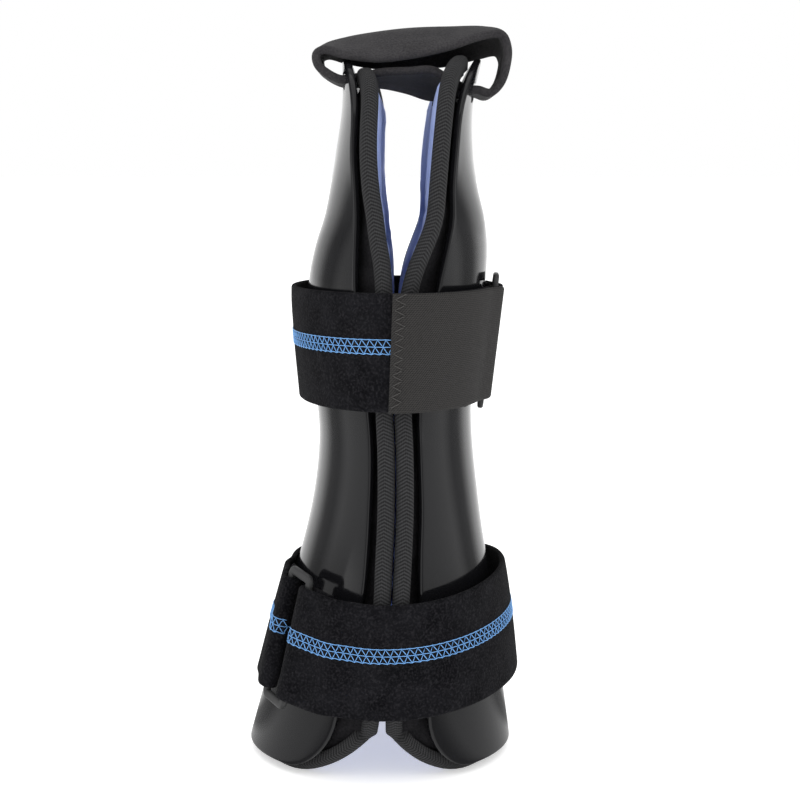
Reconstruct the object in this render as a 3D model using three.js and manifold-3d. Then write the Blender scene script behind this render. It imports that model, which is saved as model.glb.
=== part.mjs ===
// Ankle stabilizer brace of the stirrup kind: two rigid shells with padded liners and three straps.
// Millimetres, +Z up. X runs from the left shell to the right one, and -Y is the front.
// The brace stands upside down on the flat calf ends of its pads, with the heel strap on top.
// The origin is on the floor, in the middle of the space between the shells.
import * as THREE from "three";
import { mergeVertices } from "three/addons/utils/BufferGeometryUtils.js";
import Module from "manifold-3d";

const wasm = await Module();
wasm.setup();

// Driving dimensions of the shells
const SHELL_RISE = 2.8; // calf end of the shells above the floor
const SHELL_HEIGHT = 233.7; // calf end to heel end
const CALF_HALF_WIDTH = 45.5; // centre line to the crest of a shell, at the calf end
const CALF_HALF_DEPTH = 46; // middle to the front or back edge of a shell, at the calf end
const CALF_SAG = 28; // how far the crest of a shell stands off the line between its edges
const SHELL_WALL = 2.5;
const SHELL_CALF_CORNER = 18;
const SHELL_HEEL_CORNER = 24;
const LEAN = 0.042; // sideways lean to the right, for each millimetre of height

// Driving dimensions of the padded liners and their bindings
const PAD_THICKNESS = 8;
const PAD_STANDOFF = 1.2; // the hook patches that hold a pad in its shell
const PAD_RELIEF = 0.8; // how far the foam lies in from its bound rim, on the shell's side
const PAD_OVERHANG = 7; // pad past the front and back edges of the shell
const LEFT_PAD_DROP = 3; // heel end of the left pad below the shells' heel end
const RIGHT_PAD_DROP = -1;
const PAD_CALF_CORNER = 38;
const PAD_HEEL_CORNER = 24;
const RIM_WIDTH = 5.6; // thickness of the bound rim of a pad
const BINDING_WALL = 1.2;
const BINDING_DEPTH = 5;
const BINDING_BEVEL = 1.3;
const FOAM_SWELL = 0.9; // from the binding to where the foam starts to swell to its full thickness
const HEEL_HALF_GAP = 9.3; // centre line to a pad's front rim, at the heel
const RIM_BLEND = 2; // softness of the bend where a pad turns forward at its rim

// Driving dimensions of the straps and rings
const STRAP_WIDTH = 38;
const STRAP_THICKNESS = 1.8;
const STRAP_EASE = 1.6; // strap to the pads' rims, at the front and back
const UPPER_STRAP_HEIGHT = 142.3; // middle of the strap over the ankle bones
const LOWER_STRAP_HEIGHT = 42.5; // middle of the strap round the calf
const LOWER_STRAP_RISE = 5; // how much the lower strap climbs from the front to the sides
const RING_WIDTH = 17.5;
const RING_BAR = 3;
const RING_THICKNESS = 2;
const RING_ROOM = 1; // between each edge of a strap and the end of its ring
const RING_CORNER = 3.2;

// Driving dimensions of the heel strap
const HEEL_STRAP_WIDTH = 38;
const HEEL_STRAP_THICKNESS = 2.8;
const HEEL_STRAP_LOOP = 20; // right slot to the top of the strap
const HEEL_STRAP_ARCH = 10; // how far the front and back edges of the top layer hang
const HEEL_STRAP_TILT = 4; // how far the front edge stands above the middle, and the back edge below it
const LEFT_SLOT_DROP = 7; // slot in the left shell below the shells' heel end
const RIGHT_SLOT_DROP = 10.2;
const SLOT_CLEARANCE = 0.8;
const NOTCH_CLEARANCE = 3; // under the heel strap, in the notches of the pads

const PIECE_GAP = 0.3; // clearance between pieces that touch

// What follows from the driving dimensions
const SHELL_TOP = SHELL_RISE + SHELL_HEIGHT;
const RING_LENGTH = STRAP_WIDTH + 2 * (RING_BAR + RING_ROOM);
const FOAM_MARGIN = BINDING_WALL + PIECE_GAP; // edge of the foam, in from the outside of the binding
const FOAM_RIM = RIM_WIDTH / 2 - FOAM_MARGIN - PIECE_GAP; // half thickness of the foam inside its binding
const padTop = (side) => SHELL_TOP - (side < 0 ? LEFT_PAD_DROP : RIGHT_PAD_DROP);
const slotHeight = (side) => SHELL_TOP - (side < 0 ? LEFT_SLOT_DROP : RIGHT_SLOT_DROP);

// Sections of a shell from the calf end to the heel end.
// height is a share of the shell's height, width and shift of the calf's half width, depth of the calf's
// half depth and sag of the calf's sag.
const SECTIONS = [
  { height: 0.0, width: 1.0, depth: 1.0, sag: 1.0, shift: -0.004 },
  { height: 0.09, width: 0.908, depth: 1.0, sag: 0.94, shift: 0.01 },
  { height: 0.177, width: 0.826, depth: 0.99, sag: 0.91, shift: 0.026 },
  { height: 0.25, width: 0.747, depth: 0.978, sag: 0.875, shift: 0.037 },
  { height: 0.306, width: 0.681, depth: 0.957, sag: 0.79, shift: 0.039 },
  { height: 0.371, width: 0.622, depth: 0.935, sag: 0.7, shift: 0.039 },
  { height: 0.457, width: 0.578, depth: 0.913, sag: 0.645, shift: 0.02 },
  { height: 0.513, width: 0.585, depth: 0.902, sag: 0.645, shift: -0.004 },
  { height: 0.608, width: 0.637, depth: 0.891, sag: 0.625, shift: -0.017 },
  { height: 0.681, width: 0.664, depth: 0.87, sag: 0.59, shift: -0.017 },
  { height: 0.737, width: 0.642, depth: 0.848, sag: 0.5, shift: 0.004 },
  { height: 0.776, width: 0.598, depth: 0.826, sag: 0.4, shift: 0.017 },
  { height: 0.819, width: 0.549, depth: 0.804, sag: 0.31, shift: 0.004 },
  { height: 0.866, width: 0.51, depth: 0.783, sag: 0.215, shift: -0.004 },
  { height: 0.94, width: 0.484, depth: 0.739, sag: 0.15, shift: 0.006 },
  { height: 1.0, width: 0.515, depth: 0.717, sag: 0.14, shift: 0.024 },
];

// Half gap between the two pads' rims: height is a share of the shell's height, front and back are shares
// of the half gap at the heel. The pads press on each other below the ankle bones, and part at the calf end.
const RIM_GAPS = [
  { height: 0.0, front: 0.25, back: 0.2 },
  { height: 0.07, front: 0.12, back: 0.1 },
  { height: 0.14, front: 0.03, back: 0.03 },
  { height: 0.3, front: 0.03, back: 0.03 },
  { height: 0.58, front: 0.03, back: 0.03 },
  { height: 0.64, front: 0.06, back: 0.06 },
  { height: 0.703, front: 0.24, back: 0.2 },
  { height: 0.767, front: 0.67, back: 0.57 },
  { height: 0.832, front: 0.88, back: 0.72 },
  { height: 0.94, front: 1.0, back: 0.8 },
  { height: 1.0, front: 1.03, back: 0.82 },
];

// Run of the heel strap, a closed band seen from the front, from the left slot through the inside.
// across is a share of the shell's half width at the heel, up of the strap's loop above the right slot,
// arch of the strap's arch and tilt of its tilt.
const HEEL_STRAP_RUN = [
  { across: -1.0, up: 0.165, arch: 0, tilt: 0 },
  { across: -0.84, up: 0.17, arch: 0, tilt: 0.05 },
  { across: -0.6, up: 0.195, arch: 0, tilt: 0.2 },
  { across: -0.36, up: 0.21, arch: 0, tilt: 0.38 },
  { across: 0.0, up: 0.175, arch: 0, tilt: 0.65 },
  { across: 0.36, up: 0.12, arch: 0, tilt: 1.0 },
  { across: 0.62, up: 0.05, arch: 0, tilt: 0.5 },
  { across: 0.88, up: 0.0, arch: 0, tilt: 0.04 },
  { across: 1.05, up: -0.01, arch: 0, tilt: 0 },
  { across: 1.22, up: -0.055, arch: 0, tilt: 0 },
  { across: 1.37, up: 0.1, arch: 0, tilt: 0 },
  { across: 1.45, up: 0.4, arch: 0, tilt: 0.1 },
  { across: 1.45, up: 0.66, arch: 0.1, tilt: 0.3 },
  { across: 1.35, up: 0.9, arch: 0.25, tilt: 0.5 },
  { across: 1.08, up: 0.985, arch: 0.52, tilt: 0.6 },
  { across: 0.6, up: 1.0, arch: 0.88, tilt: 0.45 },
  { across: 0.0, up: 0.985, arch: 1.05, tilt: 0.2 },
  { across: -0.5, up: 0.925, arch: 0.97, tilt: 0.05 },
  { across: -0.95, up: 0.835, arch: 0.62, tilt: 0 },
  { across: -1.24, up: 0.73, arch: 0.2, tilt: 0 },
  { across: -1.37, up: 0.57, arch: 0, tilt: 0 },
  { across: -1.34, up: 0.4, arch: 0, tilt: 0 },
  { across: -1.2, up: 0.265, arch: 0, tilt: 0 },
];

// Each strap's own sizes: ease is the room between the crest of a shell and the strap, ring the place of
// the ring's middle round the strap, in degrees from +X seen from above.
const UPPER_STRAP = { height: UPPER_STRAP_HEIGHT, rise: 0, easeLeft: 4, easeRight: 0.4, ring: -4 };
const LOWER_STRAP = {
  height: LOWER_STRAP_HEIGHT,
  rise: LOWER_STRAP_RISE,
  easeLeft: 0.8,
  easeRight: 4.2,
  ring: -144,
};

// Places on a folded end of a strap, in degrees round the brace from the middle of its ring's bar
const FOLD_SWEEP = 16; // how far the hidden end reaches
const FOLD_CLEAR = 5; // where it leaves the loop for the bar
const FOLD_SETTLE = 12; // where the outer layer comes down on the hidden one
const FOLD_REST = 3; // how far past the hidden end it stays up
const TAB_JOINT = 1.5; // gap between the end of the strap and the tab sewn to it, beside the bar
const TAB_END = -93; // free end of the hook tab, in degrees from +X

// Steps of the meshes
const PLAN_STEPS = 48;
const SHELL_COLUMNS = 10;
const PAD_COLUMNS = 3; // between the bound rim and the crest, on each half
const CORNER_ROWS = 5;
const BODY_ROWS = 8;
const STRAP_STEP = 8; // degrees
const CORNER_TURNS = 2; // steps of a fold round each corner of a ring's bar
const HEEL_STRAP_STEPS = 48;
const MERGE_DISTANCE = 1e-4; // points closer than this are one

// A smooth curve through the rows of a table, which holds its end rows past its ends.
function tableCurve(rows, columns) {
  const heights = rows.map((row) => row.height);
  const values = rows.flatMap((row) => columns.map((column) => row[column]));
  return new THREE.CubicInterpolant(heights, values, columns.length, new Float64Array(columns.length));
}

const sectionCurve = tableCurve(SECTIONS, ["width", "depth", "sag", "shift"]);
const gapCurve = tableCurve(RIM_GAPS, ["front", "back"]);
const heightShare = (z) => (z - SHELL_RISE) / SHELL_HEIGHT;

// The section of the brace at a height: half width, half depth, sag, sideways shift and radius of a shell.
function sectionAt(z) {
  const [width, depth, sag, shift] = sectionCurve.evaluate(heightShare(z));
  const section = {
    width: width * CALF_HALF_WIDTH,
    depth: depth * CALF_HALF_DEPTH,
    sag: sag * CALF_SAG,
    shift: shift * CALF_HALF_WIDTH,
  };
  section.radius = (section.depth ** 2 + section.sag ** 2) / (2 * section.sag);
  section.reach = 2 * Math.atan2(section.sag, section.depth) * section.radius;
  return section;
}

// Half gap between the pads at a height, at the front (along below 0) or at the back.
function halfGap(z, along) {
  const [front, back] = gapCurve.evaluate(heightShare(z));
  return Math.max((along < 0 ? front : back) * HEEL_HALF_GAP, PIECE_GAP / 2);
}

// A point on the outside of a shell: along is the length round the section from its crest.
function shellPoint(side, z, along) {
  const { width, radius, shift } = sectionAt(z);
  const angle = along / radius;
  const x = width - radius * (1 - Math.cos(angle));
  return new THREE.Vector3(side * x + shift, radius * Math.sin(angle), z);
}

// The plan of the middle of a pad's rim thickness, from the crest to the front or back end of the pad.
// It runs parallel to the shell, then turns forward where it meets the other pad.
function padPlan(z, along) {
  const { width, depth, radius } = sectionAt(z);
  const inset = SHELL_WALL + PAD_STANDOFF + RIM_WIDTH / 2;
  const rim = halfGap(z, along) + RIM_WIDTH / 2;
  const end = depth + PAD_OVERHANG;
  const points = [];
  let length = 0;
  for (let i = 0; i <= PLAN_STEPS; i++) {
    const y = (end * i) / PLAN_STEPS;
    const arc = width - radius + Math.sqrt(Math.max((radius - inset) ** 2 - y ** 2, 0));
    const over = arc - rim;
    const bend = Math.hypot(over, RIM_BLEND);
    const x = rim + (over + bend) / 2 - RIM_BLEND ** 2 / bend / 4;
    if (i > 0) length += Math.hypot(x - points[i - 1].x, y - points[i - 1].y);
    points.push({ x, y, length });
  }
  return points;
}

// Length of a pad's plan from its crest to its front or back end.
const padReach = (z, along) => padPlan(z, along)[PLAN_STEPS].length;

// A point on the middle surface of a pad, at a length round the section from its crest.
function padPoint(side, z, along) {
  const plan = padPlan(z, along);
  const length = Math.abs(along);
  const after = plan.findIndex((point) => point.length > length);
  const next = after < 1 ? plan[PLAN_STEPS] : plan[after];
  const last = after < 1 ? plan[PLAN_STEPS - 1] : plan[after - 1];
  const share = (length - last.length) / (next.length - last.length);
  const x = last.x + (next.x - last.x) * share;
  const y = last.y + (next.y - last.y) * share;
  return new THREE.Vector3(side * x + sectionAt(z).shift, Math.sign(along) * y, z);
}

// How much shorter a row of a rounded outline is than the full width, at a distance from its end.
function cornerCut(distance, corner) {
  return distance >= corner ? 0 : corner - Math.sqrt(Math.max(corner ** 2 - (corner - distance) ** 2, 0));
}

// Distance from a point to a rounded outline, from its distances to the side and to the end.
function outlineDistance(toSide, toEnd, corner) {
  if (toSide >= corner || toEnd >= corner) return Math.min(toSide, toEnd);
  return corner - Math.hypot(corner - toSide, corner - toEnd);
}

// Heights of the rows of a rounded outline, closer together at its corners.
function outlineRows(bottom, top, bottomCorner, topCorner, extra = []) {
  const rows = [...extra];
  for (let i = 0; i <= CORNER_ROWS; i++) {
    const turn = (Math.PI / 2) * (i / CORNER_ROWS);
    rows.push(bottom + bottomCorner * (1 - Math.cos(turn)), top - topCorner * (1 - Math.cos(turn)));
  }
  const body = top - topCorner - bottom - bottomCorner;
  for (let i = 1; i < BODY_ROWS; i++) rows.push(bottom + bottomCorner + (body * i) / BODY_ROWS);
  return rows.sort((a, b) => a - b);
}

// Surface normals of a grid of points.
function gridNormals(grid, closed) {
  const rows = grid.length;
  return grid.map((row, i) =>
    row.map((point, j) => {
      const up = closed ? grid[(i + 1) % rows][j] : grid[Math.min(i + 1, rows - 1)][j];
      const down = closed ? grid[(i + rows - 1) % rows][j] : grid[Math.max(i - 1, 0)][j];
      const right = row[Math.min(j + 1, row.length - 1)];
      const left = row[Math.max(j - 1, 0)];
      return up.clone().sub(down).cross(right.clone().sub(left)).normalize();
    }),
  );
}

// A grid moved along its normals by a length.
function offsetGrid(grid, normals, length) {
  return grid.map((row, i) => row.map((point, j) => point.clone().addScaledVector(normals[i][j], length)));
}

// A grid moved level, without a change of height, by a length for each row and column.
function offsetLevel(grid, normals, lengthAt) {
  const level = (normal) => normal.clone().setZ(0).normalize();
  return grid.map((row, i) =>
    row.map((point, j) => point.clone().addScaledVector(level(normals[i][j]), lengthAt(i, j))),
  );
}

// A solid of the modelling library from points and triangles, turned so that its faces point out.
function solidOf(points, triangles) {
  const geometry = new THREE.BufferGeometry().setFromPoints(points);
  geometry.setIndex(triangles);
  return solidOfGeometry(geometry);
}

function solidOfGeometry(geometry) {
  const bare = geometry.clone();
  bare.deleteAttribute("normal");
  bare.deleteAttribute("uv");
  const merged = mergeVertices(bare, MERGE_DISTANCE);
  const vertProperties = merged.attributes.position.array;
  const make = (triVerts) => new wasm.Manifold(new wasm.Mesh({ numProp: 3, vertProperties, triVerts }));
  const triVerts = new Uint32Array(merged.index.array);
  const solid = make(triVerts);
  return solid.volume() < 0 ? make(triVerts.reverse()) : solid;
}

// The closed solid between two grids of the same size. A closed grid joins its last row to its first.
function slab(outer, inner, closed = false) {
  const rows = outer.length;
  const columns = outer[0].length;
  const points = [...outer.flat(), ...inner.flat()];
  const triangles = [];
  const at = (layer, i, j) => layer * rows * columns + (i % rows) * columns + j;
  const quad = (a, b, c, d) => triangles.push(a, b, c, a, c, d);
  const spans = closed ? rows : rows - 1;
  for (let i = 0; i < spans; i++) {
    for (let j = 0; j < columns - 1; j++) {
      quad(at(0, i, j), at(0, i, j + 1), at(0, i + 1, j + 1), at(0, i + 1, j));
      quad(at(1, i, j), at(1, i + 1, j), at(1, i + 1, j + 1), at(1, i, j + 1));
    }
    quad(at(0, i, 0), at(0, i + 1, 0), at(1, i + 1, 0), at(1, i, 0));
    quad(at(0, i, columns - 1), at(1, i, columns - 1), at(1, i + 1, columns - 1), at(0, i + 1, columns - 1));
  }
  for (let j = 0; j < columns - 1 && !closed; j++) {
    quad(at(0, 0, j), at(1, 0, j), at(1, 0, j + 1), at(0, 0, j + 1));
    quad(at(0, rows - 1, j), at(0, rows - 1, j + 1), at(1, rows - 1, j + 1), at(1, rows - 1, j));
  }
  return solidOf(points, triangles);
}

// A cut for the heel strap through one side, from one distance under the strap's middle to one above it.
function strapCut(side, below, above) {
  const box = new THREE.BoxGeometry(CALF_HALF_WIDTH, HEEL_STRAP_WIDTH + 2 * SLOT_CLEARANCE, below + above);
  box.translate(side * (CALF_HALF_WIDTH / 2 + PIECE_GAP), 0, slotHeight(side) + (above - below) / 2);
  return solidOfGeometry(box);
}

// The slot in a shell that holds the heel strap.
function slotCut(side) {
  const half = HEEL_STRAP_THICKNESS / 2 + SLOT_CLEARANCE;
  return strapCut(side, half, half);
}

// The notch in the heel end of a pad that lets the heel strap through.
function notchCut(side) {
  const below = HEEL_STRAP_THICKNESS / 2 + NOTCH_CLEARANCE;
  return strapCut(side, below, padTop(side) - slotHeight(side) + BINDING_DEPTH);
}

// One rigid shell: a curved plate with rounded ends and a slot for the heel strap.
function shell(side) {
  const rows = outlineRows(SHELL_RISE, SHELL_TOP, SHELL_CALF_CORNER, SHELL_HEEL_CORNER);
  const grid = rows.map((z) => {
    const cut = cornerCut(z - SHELL_RISE, SHELL_CALF_CORNER) + cornerCut(SHELL_TOP - z, SHELL_HEEL_CORNER);
    const reach = sectionAt(z).reach - cut;
    return Array.from({ length: SHELL_COLUMNS + 1 }, (_, j) =>
      shellPoint(side, z, reach * ((2 * j) / SHELL_COLUMNS - 1)),
    );
  });
  const inner = offsetLevel(grid, gridNormals(grid), () => side * SHELL_WALL);
  return slab(grid, inner).subtract(slotCut(side));
}

// One padded liner. margin is how far its outline lies inside the binding's, rim half the thickness of
// its bound rim, and spare what is added all round for a copy that the binding is cut with.
function pad(side, margin, rim, spare) {
  const top = padTop(side) - margin;
  const calfCorner = PAD_CALF_CORNER - margin;
  const heelCorner = PAD_HEEL_CORNER - margin;
  const seam = BINDING_DEPTH - margin + PIECE_GAP;
  const full = seam + BINDING_WALL;
  const swell = seam + (spare > 0 ? 0 : FOAM_SWELL);
  const ends = [seam, full].flatMap((step) => [margin + step, top - step]);
  const rows = outlineRows(margin, top, calfCorner, heelCorner, ends);
  const places = [];
  const columnsOf = (z) => {
    const cut = cornerCut(z - margin, calfCorner) + cornerCut(top - z, heelCorner);
    const half = (end) => {
      const reach = padReach(z, end) - margin - cut;
      const steps = [0, seam / 2, seam, full];
      const gaps = PAD_COLUMNS + 0.5; // the crest lies in the middle of a gap
      for (let k = 1; k <= PAD_COLUMNS; k++) steps.push(full + ((reach - full) * k) / gaps);
      return steps.map((step) => ({ along: end * (reach - step), toSide: step + cut }));
    };
    return [...half(-1), ...half(1).reverse()];
  };
  const grid = rows.map((z) => {
    const columns = columnsOf(z);
    places.push(
      columns.map(({ toSide }) => {
        const low = outlineDistance(toSide, z - margin, calfCorner);
        const high = outlineDistance(toSide, top - z, heelCorner);
        return THREE.MathUtils.smoothstep(Math.min(low, high), swell, swell + BINDING_WALL);
      }),
    );
    return columns.map(({ along }) => padPoint(side, z, along));
  });
  const normals = gridNormals(grid);
  const outward = (i, j) => -side * (rim + (RIM_WIDTH / 2 - PAD_RELIEF + spare - rim) * places[i][j]);
  const inward = (i, j) => side * (rim + (PAD_THICKNESS - RIM_WIDTH / 2 + spare - rim) * places[i][j]);
  const outer = offsetLevel(grid, normals, outward);
  const inner = offsetLevel(grid, normals, inward);
  inner.forEach((row, i) =>
    row.forEach((point, j) => {
      const { shift } = sectionAt(rows[i]);
      const least = halfGap(rows[i], point.y) + (places[i][j] > 0 ? 0 : RIM_WIDTH / 2 - rim);
      const x = Math.max(side * (point.x - shift), least - spare);
      point.x = side * x + shift;
    }),
  );
  return slab(outer, inner).subtract(notchCut(side));
}

// The run of a binding: points round the outline of a pad, each with a frame of outward and surface normals.
function bindingRun(side) {
  const top = padTop(side);
  const rows = outlineRows(0, top, PAD_CALF_CORNER, PAD_HEEL_CORNER);
  const alongAt = (z, end) =>
    end * (padReach(z, end) - cornerCut(z, PAD_CALF_CORNER) - cornerCut(top - z, PAD_HEEL_CORNER));
  const run = rows.map((z) => ({ z, along: alongAt(z, -1) }));
  const across = (z) => {
    const ends = [alongAt(z, -1), alongAt(z, 1)];
    return [1, 2, 3, 4].map((k) => ({ z, along: ends[0] + ((ends[1] - ends[0]) * k) / 5 }));
  };
  run.push(...across(top));
  run.push(...rows.reverse().map((z) => ({ z, along: alongAt(z, 1) })));
  run.push(...across(0).reverse());
  return run;
}

// The rim bar of a pad, which the pad's own rim is cut from to leave the folded binding.
function rimBar(side) {
  const run = bindingRun(side);
  const count = run.length;
  const half = RIM_WIDTH / 2;
  const section = [
    [-BINDING_DEPTH, -half],
    [-BINDING_BEVEL, -half],
    [0, BINDING_BEVEL - half],
    [0, half - BINDING_BEVEL],
    [-BINDING_BEVEL, half],
    [-BINDING_DEPTH, half],
  ];
  const nudge = PIECE_GAP;
  const level = (a, b) => Math.abs(a - b) < nudge / 1000;
  const rings = run.map(({ z, along }, i) => {
    const before = run[(i + count - 1) % count];
    const after = run[(i + 1) % count];
    const point = padPoint(side, z, along);
    const upward = padPoint(side, z + nudge, along).sub(padPoint(side, z - nudge, along));
    const inner = along - Math.sign(along) * nudge;
    const round = padPoint(side, z, along).sub(padPoint(side, z, inner));
    const surface = upward.cross(round).normalize().multiplyScalar(Math.sign(along) * -side);
    const atBottom = level(z, 0) && level(before.z, 0) && level(after.z, 0);
    const atTop = level(z, padTop(side)) && level(before.z, after.z);
    const forward = padPoint(side, after.z, after.along).sub(padPoint(side, before.z, before.along));
    let outward = forward.cross(surface).normalize();
    if (outward.dot(new THREE.Vector3(0, point.y, z - padTop(side) / 2)) < 0) outward.negate();
    if (atBottom) outward = new THREE.Vector3(0, 0, -1);
    if (atTop) outward = new THREE.Vector3(0, 0, 1);
    const corner = ([out, off]) => point.clone().addScaledVector(outward, out).addScaledVector(surface, off);
    return section.map(corner);
  });
  const points = rings.flat();
  const triangles = [];
  const sides = section.length;
  for (let i = 0; i < count; i++)
    for (let j = 0; j < sides; j++) {
      const next = (i + 1) % count;
      const beside = (j + 1) % sides;
      const [a, b, c, d] = [i * sides + j, i * sides + beside, next * sides + beside, next * sides + j];
      triangles.push(a, b, c, a, c, d);
    }
  return solidOf(points, triangles);
}

// The folded tape round the rim of a pad.
function binding(side) {
  const channel = pad(side, BINDING_WALL, RIM_WIDTH / 2 - BINDING_WALL, PIECE_GAP);
  const bodies = rimBar(side).subtract(channel).subtract(notchCut(side)).decompose();
  return bodies.sort((a, b) => b.volume() - a.volume())[0];
}

// The loop that a strap lies on at a height: half widths to the left and right, and half depth.
function strapLoop(strap, z) {
  const { width, depth, shift } = sectionAt(z);
  return {
    left: width - shift + strap.easeLeft,
    right: width + shift + strap.easeRight,
    deep: depth + PAD_OVERHANG + STRAP_EASE,
  };
}

// A point beside a strap's loop: angle in degrees from +X, out the distance off the loop.
function strapPoint(strap, angle, out, across) {
  const turn = THREE.MathUtils.degToRad(angle);
  const climb = strap.rise * Math.cos(turn) ** 2;
  const z = strap.height + climb + across * STRAP_WIDTH;
  const { left, right, deep } = strapLoop(strap, z);
  const wide = Math.cos(turn) < 0 ? left : right;
  const normal = new THREE.Vector3(deep * Math.cos(turn), wide * Math.sin(turn), 0).normalize();
  return new THREE.Vector3(wide * Math.cos(turn), deep * Math.sin(turn), z).addScaledVector(normal, out);
}

const LAYER = STRAP_THICKNESS + PIECE_GAP;
const INNER_LAYER = STRAP_THICKNESS / 2;
const FOLD_RADIUS = PIECE_GAP + STRAP_THICKNESS / 2; // middle of the strap round a corner of a ring's bar
const FOLD_RISE = RING_THICKNESS / 2 + FOLD_RADIUS; // middle of the ring to the middle of the strap over it
const RING_OUT = INNER_LAYER + FOLD_RISE;
const BAR_SPACING = RING_WIDTH - RING_BAR;
const BAR_ROUNDS = 6; // each brings a bar's angle closer

// Angle of a bar of a strap's ring: end is -1 for the bar at the smaller angle and 1 for the other.
function barAngle(strap, end) {
  const middle = strapPoint(strap, strap.ring, RING_OUT, 0);
  let angle = strap.ring;
  const at = (place) => strapPoint(strap, place, RING_OUT, 0);
  for (let i = 0; i < BAR_ROUNDS; i++) {
    const speed = at(angle + 1).distanceTo(at(angle)); // millimetres in a degree
    angle += (end * (BAR_SPACING / 2 - middle.distanceTo(at(angle)))) / speed;
  }
  return angle;
}

// The frame of a strap's ring in the upright brace: its middle, and its wide, long and facing directions.
function ringFrame(strap) {
  const bars = [-1, 1].map((end) => barAngle(strap, end));
  const middleAt = (across) =>
    strapPoint(strap, bars[0], RING_OUT, across).lerp(strapPoint(strap, bars[1], RING_OUT, across), 0.5);
  const wideAt = (across) =>
    strapPoint(strap, bars[1], RING_OUT, across).sub(strapPoint(strap, bars[0], RING_OUT, across));
  const long = middleAt(0.5).sub(middleAt(-0.5)).normalize();
  const facing = wideAt(0).cross(long).normalize();
  return { middle: middleAt(0), wide: long.clone().cross(facing), long, facing };
}

// Stations of the turn round a ring's bar, from the inner layer to the outer one: round its two corners.
function barTurn(end) {
  const stations = [];
  const corner = BAR_SPACING / 2 - RING_BAR / 2;
  for (const face of [-1, 1]) {
    for (let i = 0; i <= CORNER_TURNS; i++) {
      const turn = (Math.PI / 2) * (i / CORNER_TURNS - (face < 0 ? 1 : 0));
      const wide = end * (corner - FOLD_RADIUS * Math.cos(turn));
      stations.push({ wide, facing: (face * RING_THICKNESS) / 2 + FOLD_RADIUS * Math.sin(turn) });
    }
  }
  return [...stations, { wide: end * (BAR_SPACING / 2 + RING_BAR / 2 + PIECE_GAP), facing: FOLD_RISE }];
}

// Stations of a stretch of strap that moves smoothly from one layer to another, without its first point.
function stretch(from, to) {
  const count = Math.max(1, Math.round(Math.abs(to.angle - from.angle) / STRAP_STEP));
  return Array.from({ length: count }, (_, i) => {
    const share = (i + 1) / count;
    const ease = THREE.MathUtils.smoothstep(share, 0, 1);
    const out = THREE.MathUtils.lerp(from.out, to.out, ease);
    return { angle: THREE.MathUtils.lerp(from.angle, to.angle, share), out };
  });
}

// A chain of stretches through the given stations.
function chain(stations) {
  return stations.slice(1).reduce((run, to, i) => [...run, ...stretch(stations[i], to)], [stations[0]]);
}

// The folded end of a strap at a bar: the hidden inner layer, the turn and the outer layer as it settles.
function foldedEnd(strap, end) {
  const bar = barAngle(strap, end);
  const inner = [
    { angle: bar + end * FOLD_SWEEP, out: INNER_LAYER },
    { angle: bar + end * FOLD_CLEAR, out: INNER_LAYER },
  ];
  const outer = [
    { angle: bar + end * FOLD_SETTLE, out: INNER_LAYER + LAYER },
    { angle: bar + end * (FOLD_SWEEP + FOLD_REST), out: INNER_LAYER + LAYER },
    { angle: bar + end * (FOLD_SWEEP + FOLD_SETTLE), out: INNER_LAYER },
  ];
  return [...chain(inner), ...barTurn(end), ...chain(outer)];
}

// A band of cloth through a run of stations round the brace, some of them round a bar of its ring.
function band(strap, run) {
  const shares = [-0.5, 0, 0.5];
  const frame = ringFrame(strap);
  const pointAt = (station, across) => {
    if (station.angle !== undefined) return strapPoint(strap, station.angle, station.out, across);
    const point = frame.middle.clone().addScaledVector(frame.wide, station.wide);
    point.addScaledVector(frame.facing, station.facing);
    return point.addScaledVector(frame.long, across * STRAP_WIDTH);
  };
  const grid = run.map((station) => shares.map((across) => pointAt(station, across)));
  const normals = gridNormals(grid);
  const half = STRAP_THICKNESS / 2;
  return slab(offsetGrid(grid, normals, half), offsetGrid(grid, normals, -half));
}

// The strap over the ankle bones: doubled round its ring's rear bar, then round the back, left and front.
function upperStrap() {
  const start = foldedEnd(UPPER_STRAP, 1);
  const end = { angle: barAngle(UPPER_STRAP, -1) + 360 - TAB_JOINT, out: INNER_LAYER };
  return band(UPPER_STRAP, [...start, ...stretch(start[start.length - 1], end)]);
}

// The hook tab: it comes through the ring, turns round the front bar and lies back over the strap.
function upperHookTab() {
  const bar = barAngle(UPPER_STRAP, -1);
  const doubled = { angle: bar - FOLD_SETTLE, out: INNER_LAYER + LAYER };
  const end = { angle: TAB_END, out: INNER_LAYER + LAYER };
  return band(UPPER_STRAP, [...barTurn(-1), ...chain([doubled, end])]);
}

// The strap round the calf: one band, doubled round both bars of its ring.
function lowerStrap() {
  const rear = foldedEnd(LOWER_STRAP, -1).map((station) =>
    station.angle === undefined ? station : { angle: station.angle + 360, out: station.out },
  );
  const front = foldedEnd(LOWER_STRAP, 1);
  const back = rear.reverse();
  return band(LOWER_STRAP, [...front, ...stretch(front[front.length - 1], back[0]), ...back.slice(1)]);
}

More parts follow.
